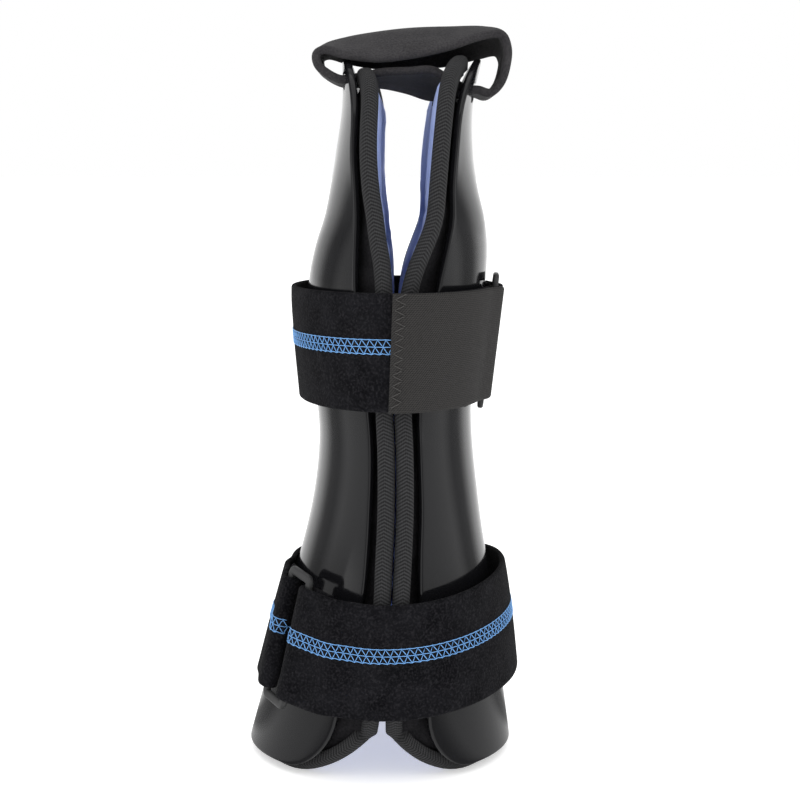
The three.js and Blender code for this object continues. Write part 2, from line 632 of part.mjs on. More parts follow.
// A plain rectangular ring of plastic, flat in its own XY plane.
function ringGeometry() {
  const outline = (shape, wide, long, corner) => {
    shape.moveTo(wide / 2, corner - long / 2);
    shape.lineTo(wide / 2, long / 2 - corner);
    shape.absarc(wide / 2 - corner, long / 2 - corner, corner, 0, Math.PI / 2);
    shape.absarc(corner - wide / 2, long / 2 - corner, corner, Math.PI / 2, Math.PI);
    shape.absarc(corner - wide / 2, corner - long / 2, corner, Math.PI, 1.5 * Math.PI);
    shape.absarc(wide / 2 - corner, corner - long / 2, corner, 1.5 * Math.PI, 2 * Math.PI);
    return shape;
  };
  const ring = outline(new THREE.Shape(), RING_WIDTH, RING_LENGTH, RING_CORNER);
  const inside = RING_CORNER - RING_BAR / 2;
  ring.holes.push(outline(new THREE.Path(), RING_WIDTH - 2 * RING_BAR, RING_LENGTH - 2 * RING_BAR, inside));
  const steps = { depth: RING_THICKNESS, bevelEnabled: false, curveSegments: 3 };
  const geometry = new THREE.ExtrudeGeometry(ring, steps);
  return geometry.translate(0, 0, -RING_THICKNESS / 2);
}

// The heel strap: a closed band through both slots, arched over the heel ends of the shells.
function heelStrap() {
  const foot = slotHeight(1);
  const wide = sectionAt(foot).width;
  const curveOf = (column) => {
    const pointAt = (row) => new THREE.Vector3(row.across * wide, row[column], row.up * HEEL_STRAP_LOOP);
    return new THREE.CatmullRomCurve3(HEEL_STRAP_RUN.map(pointAt), true, "centripetal");
  };
  const [arches, tilts] = ["arch", "tilt"].map(curveOf);
  const shares = [-1, -0.5, 0, 0.5, 1]; // from the front edge to the back edge
  const grid = Array.from({ length: HEEL_STRAP_STEPS }, (_, i) => {
    const { x, y: arch, z } = arches.getPoint(i / HEEL_STRAP_STEPS);
    const tilt = tilts.getPoint(i / HEEL_STRAP_STEPS).y;
    return shares.map((share) => {
      const fall = Math.max(arch, 0) * HEEL_STRAP_ARCH * share ** 2 + tilt * HEEL_STRAP_TILT * share;
      return new THREE.Vector3(x, (share * HEEL_STRAP_WIDTH) / 2, foot + z - fall);
    });
  });
  const normals = gridNormals(grid, true);
  const half = HEEL_STRAP_THICKNESS / 2;
  return slab(offsetGrid(grid, normals, half), offsetGrid(grid, normals, -half), true);
}

// Leans a point of the upright brace to the side, by its height.
function lean(point) {
  point.x += LEAN * point.z;
  return point;
}

// A finished piece from a solid of the upright brace.
function piece(name, solid, material) {
  const { vertProperties, triVerts } = solid.getMesh();
  const positions = new THREE.BufferAttribute(new Float32Array(vertProperties), 3);
  const point = new THREE.Vector3();
  for (let i = 0; i < positions.count; i++) {
    lean(point.fromBufferAttribute(positions, i));
    positions.setXYZ(i, point.x, point.y, point.z);
  }
  const geometry = new THREE.BufferGeometry().setAttribute("position", positions);
  geometry.setIndex(new THREE.BufferAttribute(triVerts, 1));
  const mesh = new THREE.Mesh(geometry, material);
  mesh.name = name;
  return mesh;
}

// A ring laid in the folds of its strap.
function ringPiece(name, strap, material) {
  const { middle, wide, long } = ringFrame(strap);
  const leaned = (direction) => lean(middle.clone().add(direction)).sub(lean(middle.clone())).normalize();
  const up = leaned(long);
  const facing = leaned(wide).cross(up).normalize();
  const mesh = new THREE.Mesh(ringGeometry(), material);
  mesh.quaternion.setFromRotationMatrix(new THREE.Matrix4().makeBasis(up.clone().cross(facing), up, facing));
  mesh.position.copy(lean(middle.clone()));
  mesh.name = name;
  return mesh;
}

const finish = (color, roughness) => new THREE.MeshStandardMaterial({ color, roughness, metalness: 0 });
const GLOSSY_PLASTIC = finish(0x1a1a1c, 0.25);
const BLUE_LINING = finish(0x6f86b8, 0.9);
const BLACK_TAPE = finish(0x141416, 0.85);
const LOOP_PILE = finish(0x101012, 0.95);
const WOVEN_HOOK = finish(0x3a3838, 0.8);
const MATTE_PLASTIC = finish(0x3f3f3f, 0.5);
const BRUSHED_CLOTH = finish(0x2c2a2c, 0.95);

const brace = new THREE.Group();
for (const [side, label] of [
  [-1, "left"],
  [1, "right"],
]) {
  brace.add(piece("shell_" + label, shell(side), GLOSSY_PLASTIC));
  brace.add(piece("pad_" + label, pad(side, FOAM_MARGIN, FOAM_RIM, 0), BLUE_LINING));
  brace.add(piece("binding_" + label, binding(side), BLACK_TAPE));
}
brace.add(piece("upper_strap", upperStrap(), LOOP_PILE));
brace.add(piece("upper_hook_tab", upperHookTab(), WOVEN_HOOK));
brace.add(ringPiece("upper_ring", UPPER_STRAP, MATTE_PLASTIC));
brace.add(piece("lower_strap", lowerStrap(), LOOP_PILE));
brace.add(ringPiece("lower_ring", LOWER_STRAP, MATTE_PLASTIC));
brace.add(piece("heel_strap", heelStrap(), BRUSHED_CLOTH));

export default brace;
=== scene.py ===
# %% [markdown]
# Ankle stabilizer brace. Two glossy plastic shells hold foam pads whose rims are bound with herringbone
# tape. Two pile straps run round them through plastic rings, and a soft heel strap joins their heel ends.
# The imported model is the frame: every piece made here takes the place of the plain solid of its name, and is
# worked out from the same sizes. Lengths are millimetres until a mesh is made, and then metres.

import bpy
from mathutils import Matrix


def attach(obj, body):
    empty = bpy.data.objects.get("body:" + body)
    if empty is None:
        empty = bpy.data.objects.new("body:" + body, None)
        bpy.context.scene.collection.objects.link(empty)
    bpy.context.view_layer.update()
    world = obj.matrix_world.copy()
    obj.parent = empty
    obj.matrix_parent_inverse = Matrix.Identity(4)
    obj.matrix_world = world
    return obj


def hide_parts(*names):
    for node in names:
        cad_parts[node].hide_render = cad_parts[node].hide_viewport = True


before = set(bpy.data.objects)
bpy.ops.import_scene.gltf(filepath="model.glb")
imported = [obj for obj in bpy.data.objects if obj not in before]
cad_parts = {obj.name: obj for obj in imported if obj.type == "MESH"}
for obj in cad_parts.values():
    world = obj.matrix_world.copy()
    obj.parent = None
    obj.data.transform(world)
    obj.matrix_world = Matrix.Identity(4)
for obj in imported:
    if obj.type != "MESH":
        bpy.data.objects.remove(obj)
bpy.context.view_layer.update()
print("nodes in the frame:", sorted(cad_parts))

# %% [markdown]
# Grids of points are easiest to work out with numpy. Blender itself measures in metres.

# %% Libraries and the unit
import math

import bmesh
import bpy
import numpy as np
from mathutils import Matrix, Vector

MM = 0.001
print("one millimetre is", MM, "metres")

# %% [markdown]
# The shells, pads and straps all follow one body: a leg that is wide at the calf, narrow above the ankle
# and a little wider again at the ankle bones. A short table of sections and a smooth curve through its rows
# describe that body. Sculpting each piece by eye would let them drift apart, so one table drives them all.

# %% Sizes of the shells, pads and bindings
SHELL_RISE, SHELL_HEIGHT, SHELL_WALL = 2.8, 233.7, 2.5
SHELL_CALF_CORNER, SHELL_HEEL_CORNER = 18, 24
SHELL_TOP = SHELL_RISE + SHELL_HEIGHT
CALF_HALF_WIDTH, CALF_HALF_DEPTH, CALF_SAG = 45.5, 46, 28
LEAN = 0.042
PAD_THICKNESS, PAD_STANDOFF, PAD_RELIEF, PAD_OVERHANG = 8, 1.2, 0.8, 7
LEFT_PAD_DROP, RIGHT_PAD_RISE = 3, 1
PAD_TOPS = {-1: SHELL_TOP - LEFT_PAD_DROP, 1: SHELL_TOP + RIGHT_PAD_RISE}
PAD_CALF_CORNER, PAD_HEEL_CORNER = 38, 24
RIM_WIDTH, RIM_BLEND, HEEL_HALF_GAP = 5.6, 2, 9.3
BINDING_WALL, BINDING_DEPTH = 1.2, 5
PIECE_GAP = 0.3
print("shell top at", SHELL_TOP, "mm, pad tops at", PAD_TOPS)

# %% [markdown]
# Both straps are the same webbing. Each lies at its own height with its own slack on the left and right, and
# its ring sits at an angle round the brace, counted from the right-hand side. Angles are degrees.

# %% Sizes of the straps and rings
STRAP_WIDTH, STRAP_THICKNESS, STRAP_EASE = 38, 1.8, 1.6
RING_WIDTH, RING_BAR, RING_THICKNESS, RING_CORNER, RING_ROOM = 17.5, 3, 2, 3.2, 1
RING_LENGTH = STRAP_WIDTH + 2 * (RING_BAR + RING_ROOM)
UPPER_STRAP = {"height": 142.3, "rise": 0, "ease_left": 4, "ease_right": 0.4, "ring": -4}
LOWER_STRAP = {"height": 42.5, "rise": 5, "ease_left": 0.8, "ease_right": 4.2, "ring": -144}
FOLD_SWEEP, FOLD_SETTLE, FOLD_CLEAR, FOLD_REST = 16, 12, 5, 3
TAB_JOINT, TAB_END = 1.5, -93
HEEL_STRAP_WIDTH, HEEL_STRAP_THICKNESS, HEEL_STRAP_LOOP = 38, 2.8, 20
HEEL_STRAP_ARCH, HEEL_STRAP_TILT = 10, 4
LEFT_SLOT_DROP, RIGHT_SLOT_DROP = 7, 10.2
SLOT_HEIGHTS = {-1: SHELL_TOP - LEFT_SLOT_DROP, 1: SHELL_TOP - RIGHT_SLOT_DROP}
SLOT_CLEARANCE, NOTCH_CLEARANCE = 0.8, 3
print("rings:", RING_LENGTH, "by", RING_WIDTH, "mm, slots at", SLOT_HEIGHTS)

# %% [markdown]
# The shells are narrow at the waist of the leg and wide at the calf and the ankle bones. Each row of the
# table is one level section, with the places read off the photograph as shares, so that a change of a main
# size carries all rows along.

# %% Sections of a shell, calf end first: shares of the shell's height and of the calf's sizes
SECTION_COLUMNS = ("height", "width", "depth", "sag", "shift")
SECTIONS = (
    (0.0, 1.0, 1.0, 1.0, -0.004),
    (0.09, 0.908, 1.0, 0.94, 0.01),
    (0.177, 0.826, 0.99, 0.91, 0.026),
    (0.25, 0.747, 0.978, 0.875, 0.037),
    (0.306, 0.681, 0.957, 0.79, 0.039),
    (0.371, 0.622, 0.935, 0.7, 0.039),
    (0.457, 0.578, 0.913, 0.645, 0.02),
    (0.513, 0.585, 0.902, 0.645, -0.004),
    (0.608, 0.637, 0.891, 0.625, -0.017),
    (0.681, 0.664, 0.87, 0.59, -0.017),
    (0.737, 0.642, 0.848, 0.5, 0.004),
    (0.776, 0.598, 0.826, 0.4, 0.017),
    (0.819, 0.549, 0.804, 0.31, 0.004),
    (0.866, 0.51, 0.783, 0.215, -0.004),
    (0.94, 0.484, 0.739, 0.15, 0.006),
    (1.0, 0.515, 0.717, 0.14, 0.024),
)
print(len(SECTIONS), "sections of the body")

# %% [markdown]
# The pads' rims touch along the waist and part towards both ends. A second table says how wide the gap is.

# %% Half gap between the pads' rims: shares of the shell's height and of the half gap at the heel
RIM_GAP_COLUMNS = ("height", "front", "back")
RIM_GAPS = (
    (0.0, 0.25, 0.2),
    (0.07, 0.12, 0.1),
    (0.14, 0.03, 0.03),
    (0.3, 0.03, 0.03),
    (0.58, 0.03, 0.03),
    (0.64, 0.06, 0.06),
    (0.703, 0.24, 0.2),
    (0.767, 0.67, 0.57),
    (0.832, 0.88, 0.72),
    (0.94, 1.0, 0.8),
    (1.0, 1.03, 0.82),
)
print("gap at the heel end:", 2 * HEEL_HALF_GAP, "mm")


# %% [markdown]
# Straight lines from row to row would leave creases round the shells. This curve passes through every row
# and keeps its slope there, as a bent batten does.


# %% A smooth curve through the rows of a table
def table_curve(columns, rows):
    table = np.array(rows, float)
    heights, last = table[:, 0], len(rows) - 1

    def value(name, share):
        values = table[:, columns.index(name)]
        share = np.clip(share, heights[0], heights[-1])
        i = np.clip(np.searchsorted(heights, share, side="right") - 1, 0, last - 1)
        start, stop = heights[i], heights[i + 1]
        first, end = i == 0, i == last - 1
        before = np.where(first, stop, heights[i - 1])
        after = np.where(end, start, heights[np.minimum(i + 2, last)])
        value_before = np.where(first, values[i + 1], values[i - 1])
        value_after = np.where(end, values[i], values[np.minimum(i + 2, last)])
        p = (share - start) / (stop - start)
        back = (stop - start) / 2 / (start - before)
        ahead = (stop - start) / 2 / (after - stop)
        weight_before = -back * p**3 + 2 * back * p**2 - back * p
        weight_start = (1 + back) * p**3 - (1.5 + 2 * back) * p**2 + (back - 0.5) * p + 1
        weight_stop = -(1 + ahead) * p**3 + (1.5 + ahead) * p**2 + 0.5 * p
        weight_after = ahead * p**3 - ahead * p**2
        inside = weight_start * values[i] + weight_stop * values[i + 1]
        return inside + weight_before * value_before + weight_after * value_after

    return value


section_value = table_curve(SECTION_COLUMNS, SECTIONS)
gap_value = table_curve(RIM_GAP_COLUMNS, RIM_GAPS)
print("half way up, a shell is", round(float(section_value("width", 0.5)), 3), "of its width at the calf")


# %% [markdown]
# In plan a shell is an arc. Its width at the crest, its depth to the front edge and how far the edge falls
# back from the crest, the sag, fix the arc's radius.


# %% The section of the brace at a height, and the half gap between the pads
def section_at(z):
    share = (np.asarray(z, float) - SHELL_RISE) / SHELL_HEIGHT
    width = section_value("width", share) * CALF_HALF_WIDTH
    depth = section_value("depth", share) * CALF_HALF_DEPTH
    sag = section_value("sag", share) * CALF_SAG
    shift = section_value("shift", share) * CALF_HALF_WIDTH
    radius = (depth**2 + sag**2) / (2 * sag)
    return width, depth, shift, radius, 2 * np.arctan2(sag, depth) * radius


def half_gap(z, front):
    share = (np.asarray(z, float) - SHELL_RISE) / SHELL_HEIGHT
    gap = np.where(front, gap_value("front", share), gap_value("back", share))
    return np.maximum(gap * HEEL_HALF_GAP, PIECE_GAP / 2)


WAIST_HEIGHT = 110.0
print("half width above the ankle:", round(float(section_at(WAIST_HEIGHT)[0]), 1), "mm")


# %% [markdown]
# A place on a shell or a pad is given by its height and its length along the plan, measured from the crest.
# Even lengths keep the grid's faces even, and they place the corners and edges in true millimetres.


# %% Points on the outside of a shell and on the middle of a pad's rim
def shell_points(side, z, along):
    width, _, shift, radius, _ = section_at(z)
    angle = along / radius
    x = side * (width - radius * (1 - np.cos(angle))) + shift
    return np.stack([x, radius * np.sin(angle), np.broadcast_to(z, x.shape)], -1)


PLAN_STEPS = 96


def pad_plan(z, front):
    """The plan of a pad from its crest to its end, for many heights: x, y and length for each step."""
    width, depth, _, radius, _ = (part[:, None] for part in section_at(z))
    inset = SHELL_WALL + PAD_STANDOFF + RIM_WIDTH / 2
    rim = half_gap(z, front)[:, None] + RIM_WIDTH / 2
    y = (depth + PAD_OVERHANG) * np.linspace(0, 1, PLAN_STEPS + 1)
    arc = width - radius + np.sqrt(np.maximum((radius - inset) ** 2 - y**2, 0))
    over = arc - rim
    bend = np.hypot(over, RIM_BLEND)
    x = rim + (over + bend) / 2 - RIM_BLEND**2 / bend / 4
    steps = np.hypot(np.diff(x, axis=1), np.diff(y, axis=1))
    length = np.concatenate([np.zeros((len(z), 1)), np.cumsum(steps, axis=1)], axis=1)
    return x, y, length


def pad_points(side, z, along):
    """Points on the middle surface of a pad: z has one height for each row of along."""
    points = np.zeros(along.shape + (3,))
    shift = section_at(z)[2]
    for end in (-1, 1):
        x, y, length = pad_plan(z, end < 0)
        for i, row in enumerate(along):
            here = row < 0 if end < 0 else row >= 0
            points[i, here, 0] = side * np.interp(abs(row[here]), length[i], x[i]) + shift[i]
            points[i, here, 1] = end * np.interp(abs(row[here]), length[i], y[i])
    points[..., 2] = z[:, None]
    return points


def pad_reach(z, front):
    return pad_plan(np.atleast_1d(z), front)[2][:, -1]


print("a pad's front reaches", round(float(pad_reach(WAIST_HEIGHT, True)[0]), 1), "mm along its plan")


# %% [markdown]
# Nearly every piece here is a sheet: a shell, a pad, a strap. A sheet is made from a grid of points, moved
# along its normals to both sides, and closed at its border. Where the border comes near, the two sides
# close in along a quarter circle, which rounds every edge. Solidify and Bevel could do this too, but
# they can't fade a pad from its thick middle to its thin rim.


# %% Grids of points: normals, lengths and faces
def grid_normals(grid, wrap=False):
    if wrap:
        up = np.roll(grid, -1, axis=0) - np.roll(grid, 1, axis=0)
    else:
        up = np.gradient(grid, axis=0)
    across = np.gradient(grid, axis=1)
    normal = np.cross(up, across)
    return normal / np.maximum(np.linalg.norm(normal, axis=-1, keepdims=True), 1e-9)


def run_lengths(points, wrap=False):
    ahead = np.concatenate([points, points[:1]]) if wrap else points
    steps = np.linalg.norm(np.diff(ahead, axis=0), axis=-1)
    return np.concatenate([[0], np.cumsum(steps)])


def grid_quads(rows, columns, wrap_rows=False, wrap_columns=False):
    """Corners of a grid's faces as (row, column) pairs, which run past the last row where it wraps."""
    i, j = np.meshgrid(
        np.arange(rows if wrap_rows else rows - 1),
        np.arange(columns if wrap_columns else columns - 1),
        indexing="ij",
    )
    i, j = i.ravel(), j.ravel()
    corners = [(i, j), (i, j + 1), (i + 1, j + 1), (i + 1, j)]
    return np.stack([np.stack(c, -1) for c in corners], 1)


# %% [markdown]
# A mesh is built from its points and faces. Each corner also stores its lengths along and across the cloth,
# from which the weaves are drawn later without stretching.


# %% Mesh objects from points, faces and the length coordinates of their corners
def mesh_object(name, points, quads, uv=None, triangles=None):
    mesh = bpy.data.meshes.new(name)
    faces = quads.tolist() + ([] if triangles is None else triangles.tolist())
    mesh.from_pydata((points * MM).tolist(), [], faces)
    if uv is not None:
        layer = mesh.uv_layers.new(name="lengths")
        flat = uv.reshape(-1, 2)
        pad = np.zeros((len(mesh.loops) - len(flat), 2))
        layer.data.foreach_set("uv", np.concatenate([flat, pad]).astype(np.float32).ravel())
    mesh.validate()
    piece = bpy.data.objects.new(name, mesh)
    bpy.context.scene.collection.objects.link(piece)
    outward(piece)
    mesh.shade_smooth()
    return piece


def outward(piece):
    work = bmesh.new()
    work.from_mesh(piece.data)
    if work.calc_volume(signed=True) < 0:
        bmesh.ops.reverse_faces(work, faces=work.faces)
        work.to_mesh(piece.data)
    work.free()


# %% [markdown]
# A slab is the closed solid between an outer and an inner grid: two layers of faces and a strip of faces
# round the border. A strap that closes on itself wraps round its rows and has a strip on two borders only.


# %% Slabs between two grids
def slab_object(name, outer, inner, lengths, wrap=False):
    """The closed solid between two grids. lengths gives each row and column its place, in mm."""
    rows, columns = outer.shape[:2]
    along, across = lengths
    quads = grid_quads(rows, columns, wrap)
    layers = [np.concatenate([np.full(quads.shape[:2] + (1,), k), quads], -1) for k in (0, 1)]
    layers[1] = layers[1][:, ::-1]
    borders = []
    i = np.arange(rows if wrap else rows - 1)
    for column, order in ((0, 1), (columns - 1, -1)):
        ring = [(0, i, column), (0, i + 1, column), (1, i + 1, column), (1, i, column)][::order]
        borders.append(ring)
    if not wrap:
        j = np.arange(columns - 1)
        for row, order in ((0, -1), (rows - 1, 1)):
            ring = [(0, row, j), (0, row, j + 1), (1, row, j + 1), (1, row, j)][::order]
            borders.append(ring)
    for ring in borders:
        corners = [np.stack(np.broadcast_arrays(*corner), -1) for corner in ring]
        layers.append(np.stack(corners, 1))
    corners = np.concatenate(layers)
    layer, row, column = corners[..., 0], corners[..., 1], corners[..., 2]
    index = layer * rows * columns + (row % rows) * columns + column
    uv = np.stack([along[row], across[column]], -1)
    points = np.concatenate([outer.reshape(-1, 3), inner.reshape(-1, 3)])
    return mesh_object(name, points, index, uv)


def rounded_half(half, edge, distance):
    """Half the thickness of a sheet at a distance from its border, with an edge of that radius."""
    inside = np.clip(edge - distance, 0, edge)
    return half - edge + np.sqrt(np.maximum(edge**2 - inside**2, 0))


# %% [markdown]
# Tapes and rings are one closed section carried along a run, round and back to its start. A bar for cutting
# has two sections and two ends, which fans of triangles close.


# %% Sections swept along a run
def swept_object(name, sections, lengths, wrap=True):
    """A closed section carried along a run. sections is a grid of points: run steps, section steps."""
    rows, columns = sections.shape[:2]
    along, round_section = lengths
    corners = grid_quads(rows, columns, wrap, True)
    row, column = corners[..., 0], corners[..., 1]
    index = (row % rows) * columns + column % columns
    uv = np.stack([along[row], round_section[column]], -1)
    points = sections.reshape(-1, 3)
    triangles = None
    if not wrap:
        points = np.concatenate([points, sections[[0, -1]].mean(axis=1)])
        j = np.arange(columns)
        first = np.stack([np.full(columns, rows * columns), j, (j + 1) % columns], -1)
        last = np.stack([np.full(columns, rows * columns + 1), (j + 1) % columns, j], -1)
        last[:, 1:] += (rows - 1) * columns
        triangles = np.concatenate([first, last])
    return mesh_object(name, points, index, uv, triangles)


# %% [markdown]
# The brace leans a little in the photograph. It is simplest to build every piece upright and shear it by its
# height at the end. Each finished piece then rides on the one rigid body of the model, takes its material
# and takes the place of the plain solid of its name.


# %% Leaning and finishing a piece
def lean_piece(piece):
    """The whole brace leans a little to the right, so a piece of the upright one is sheared by its height."""
    shear = Matrix.Identity(4)
    shear[0][2] = LEAN
    piece.data.transform(shear)
    return piece


def finish_piece(piece, material, node=None, lean=True):
    if lean:
        lean_piece(piece)
    if material is not None:
        piece.data.materials.append(material)
    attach(piece, "root")
    if node:
        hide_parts(node)
    faces = len(piece.data.polygons)
    print(f"{piece.name}: {faces} faces, {[round(x / MM, 1) for x in piece.dimensions]} mm")
    return piece


# %% [markdown]
# The heel strap runs through a slot in each shell and through a notch in each pad. A bar with a rounded
# section is subtracted with a Boolean while the pieces are still upright.

# %% Cutting slots and notches for the heel strap
CUTTER_TURN = 15


def apply_modifiers(piece):
    graph = bpy.context.evaluated_depsgraph_get()
    graph.update()
    made = bpy.data.meshes.new_from_object(piece.evaluated_get(graph))
    piece.modifiers.clear()
    piece.data = made
    return piece


def cut_for_strap(piece, side, below, above):
    """Cuts room for the heel strap through one side with a rounded bar, from below its middle to above it."""
    half_length = HEEL_STRAP_WIDTH / 2 + SLOT_CLEARANCE
    corner = min(below, above)
    turns = np.radians(np.arange(0, 360, CUTTER_TURN) + CUTTER_TURN / 2)
    y = np.cos(turns) * corner + np.sign(np.cos(turns)) * (half_length - corner)
    z = (np.sin(turns) - np.sign(np.sin(turns))) * corner + np.where(np.sin(turns) > 0, above, -below)
    z += SLOT_HEIGHTS[side]
    ends = [side * PIECE_GAP, side * (CALF_HALF_WIDTH + PIECE_GAP)]
    sections = np.stack([np.stack([np.full(len(y), x), y, z], -1) for x in ends])
    cutter = swept_object("cutter", sections, (np.zeros(3), np.zeros(len(y) + 1)), wrap=False)
    cut = piece.modifiers.new("slot", "BOOLEAN")
    cut.operation = "DIFFERENCE"
    cut.solver = "EXACT"
    cut.object = cutter
    apply_modifiers(piece)
    bpy.data.objects.remove(cutter)
    return piece


def cut_slot(piece, side):
    half = HEEL_STRAP_THICKNESS / 2 + SLOT_CLEARANCE
    return cut_for_strap(piece, side, half, half)


def cut_notch(piece, side):
    below = HEEL_STRAP_THICKNESS / 2 + NOTCH_CLEARANCE
    return cut_for_strap(piece, side, below, PAD_TOPS[side] - SLOT_HEIGHTS[side] + BINDING_DEPTH)


# %% [markdown]
# The camera stands where the photographer's did, a little above the middle of the brace and looking
# slightly down. Its place was worked out from how the level edges of the brace open towards the floor.

# %% Camera
CAMERA_PLACE = (7, -650, 201.5)
CAMERA_PITCH = 7.05
CAMERA_LENS, CAMERA_SENSOR = 85.41, 36

lens = bpy.data.cameras.new("camera")
lens.lens = CAMERA_LENS
lens.sensor_width = CAMERA_SENSOR
camera = bpy.data.objects.new("camera", lens)
camera.location = Vector(CAMERA_PLACE) * MM
camera.rotation_euler = (math.radians(90 - CAMERA_PITCH), 0, 0)
bpy.context.scene.collection.objects.link(camera)
bpy.context.scene.camera = camera
print("camera at", CAMERA_PLACE, "mm, looking", CAMERA_PITCH, "degrees down")

# %% [markdown]
# The world and the materials are trees of nodes. These helpers add a node with its inputs, a sum or wave of
# two sockets, and a ramp of colours or greys.


# %% Helpers for node trees
def add_node(tree, kind, inputs=None, **settings):
    made = tree.nodes.new(kind)
    for name, value in settings.items():
        setattr(made, name, value)
    for name, value in (inputs or {}).items():
        socket = made.inputs[name]
        if isinstance(value, bpy.types.NodeSocket):
            tree.links.new(value, socket)
        else:
            socket.default_value = value
    return made


def math_node(tree, operation, *values):
    made = tree.nodes.new("ShaderNodeMath")
    made.operation = operation
    for socket, value in zip(made.inputs, values):
        if isinstance(value, bpy.types.NodeSocket):
            tree.links.new(value, socket)
        else:
            socket.default_value = value
    return made.outputs[0]


def color_ramp(tree, factor, stops):
    made = tree.nodes.new("ShaderNodeValToRGB")
    tree.links.new(factor, made.inputs["Fac"])
    elements = made.color_ramp.elements
    while len(elements) < len(stops):
        elements.new(0.5)
    for element, (place, color) in zip(elements, stops):
        element.position = place
        element.color = (*color, 1)
    return made.outputs["Color"]


def grey_ramp(tree, factor, stops):
    return color_ramp(tree, factor, [(place, (tone, tone, tone)) for place, tone in stops])


# %% [markdown]
# The photograph was taken in a white tent. A white world gives the soft light from all sides and the long
# pale reflections at the shells' silhouettes. Glossy plastic only looks glossy with something darker to
# reflect as well, so what glossy rays see of the world has darker upright bands on both sides.

# %% White studio
# Places on the ramp are shares of a half turn from straight behind the camera to straight behind the brace.
STUDIO_BANDS = (
    (0.0, 0.7),
    (0.14, 0.6),
    (0.2, 0.16),
    (0.28, 0.16),
    (0.36, 0.5),
    (0.6, 0.55),
    (0.66, 0.2),
    (0.72, 0.2),
    (0.79, 0.75),
    (1.0, 1.2),
)
# Heights are the sine of the angle above the horizon: what the glossy plastic sees grows dim overhead.
STUDIO_CEILING = ((0.02, 1.0), (0.3, 0.42), (1.0, 0.42))


def studio_bands(tree, coordinate):
    """The studio's tone by the direction of a coordinate, and the coordinate's three parts."""
    direction = add_node(tree, "ShaderNodeTexCoord").outputs[coordinate]
    parts = add_node(tree, "ShaderNodeSeparateXYZ", {"Vector": direction})
    sideways = math_node(tree, "ABSOLUTE", parts.outputs["X"])
    ahead = math_node(tree, "MULTIPLY", parts.outputs["Y"], -1.0)
    turn = math_node(tree, "DIVIDE", math_node(tree, "ARCTAN2", sideways, ahead), math.pi)
    return grey_ramp(tree, turn, STUDIO_BANDS), parts


def glossy_choice(tree, seen, mirrored):
    """One shader for all rays and another for glossy ones."""
    path = add_node(tree, "ShaderNodeLightPath")
    choice = {0: path.outputs["Is Glossy Ray"], 1: seen.outputs[0], 2: mirrored.outputs[0]}
    return add_node(tree, "ShaderNodeMixShader", choice).outputs[0]


world = bpy.data.worlds.new("white_studio")
world.use_nodes = True
bpy.context.scene.world = world
tree = world.node_tree
tree.nodes.clear()
bands, parts = studio_bands(tree, "Generated")
ceiling = grey_ramp(tree, parts.outputs["Z"], STUDIO_CEILING)
banded = add_node(tree, "ShaderNodeBackground", {"Color": bands, "Strength": ceiling})
plain = add_node(tree, "ShaderNodeBackground", {"Color": (1, 1, 1, 1), "Strength": 1.0})
add_node(tree, "ShaderNodeOutputWorld", {"Surface": glossy_choice(tree, plain, banded)})
bpy.context.scene.view_settings.view_transform = "Standard"
bpy.context.scene.view_settings.look = "None"
print("studio:", len(STUDIO_BANDS), "tones round the half turn")

# %% [markdown]
# Three broad lamps add soft highlights from above and from both sides. A lamp as large as its distance
# throws no hard shadow, as in the photograph.

# %% Soft lights: name, place, size and power, all aimed at the middle of the brace
LIGHTS = (
    ("light_top", (0, -250, 900), 900, 1.6),
    ("light_left", (-800, -350, 400), 700, 1.0),
    ("light_right", (800, -350, 400), 700, 1.2),
)
AIM = Vector((5, 0, 120)) * MM
for name, place, size, power in LIGHTS:
    lamp = bpy.data.lights.new(name, "AREA")
    lamp.size = size * MM
    lamp.energy = power
    light = bpy.data.objects.new(name, lamp)
    light.location = Vector(place) * MM
    light.rotation_euler = (AIM - light.location).to_track_quat("-Z", "Y").to_euler()
    bpy.context.scene.collection.objects.link(light)
print("lights:", [name for name, *_ in LIGHTS])

# %% [markdown]
# The floor is a sheet of white paper that runs on past the horizon. It is lit a little from below, as a light
# table is, which keeps the shadow under the brace as faint as it is in the photograph. The shells would
# mirror so bright a floor, so glossy rays meet the studio's bands on it as well.

# %% Pale floor
FLOOR_SIZE = 60000
PAPER_GLOW = 0.45
MIRRORED_PAPER = 1.2
bpy.ops.mesh.primitive_plane_add(size=FLOOR_SIZE * MM, location=(0, 0, 0))
floor = bpy.context.object
floor.name = "floor"
paper = bpy.data.materials.new("white_paper")
paper.use_nodes = True
paper_shader = paper.node_tree.nodes["Principled BSDF"]
paper_shader.inputs["Base Color"].default_value = (0.97, 0.97, 0.97, 1)
paper_shader.inputs["Roughness"].default_value = 0.9
paper_shader.inputs["Emission Color"].default_value = (1, 1, 1, 1)
paper_shader.inputs["Emission Strength"].default_value = PAPER_GLOW
tree = paper.node_tree
bands, _ = studio_bands(tree, "Object")
mirrored = add_node(tree, "ShaderNodeEmission", {"Color": bands, "Strength": MIRRORED_PAPER})
output = tree.nodes["Material Output"]
tree.links.new(glossy_choice(tree, paper_shader, mirrored), output.inputs["Surface"])
floor.data.materials.append(paper)
print("floor:", floor.name, FLOOR_SIZE * MM, "m wide")


# %% [markdown]
# Materials come next. Each is a Principled shader with a bump of the right scale. A helper starts one and
# gives its shader and the two coordinates used: places in metres, and lengths along and across a strip of
# cloth in millimetres, which every sheet stores as it is made.


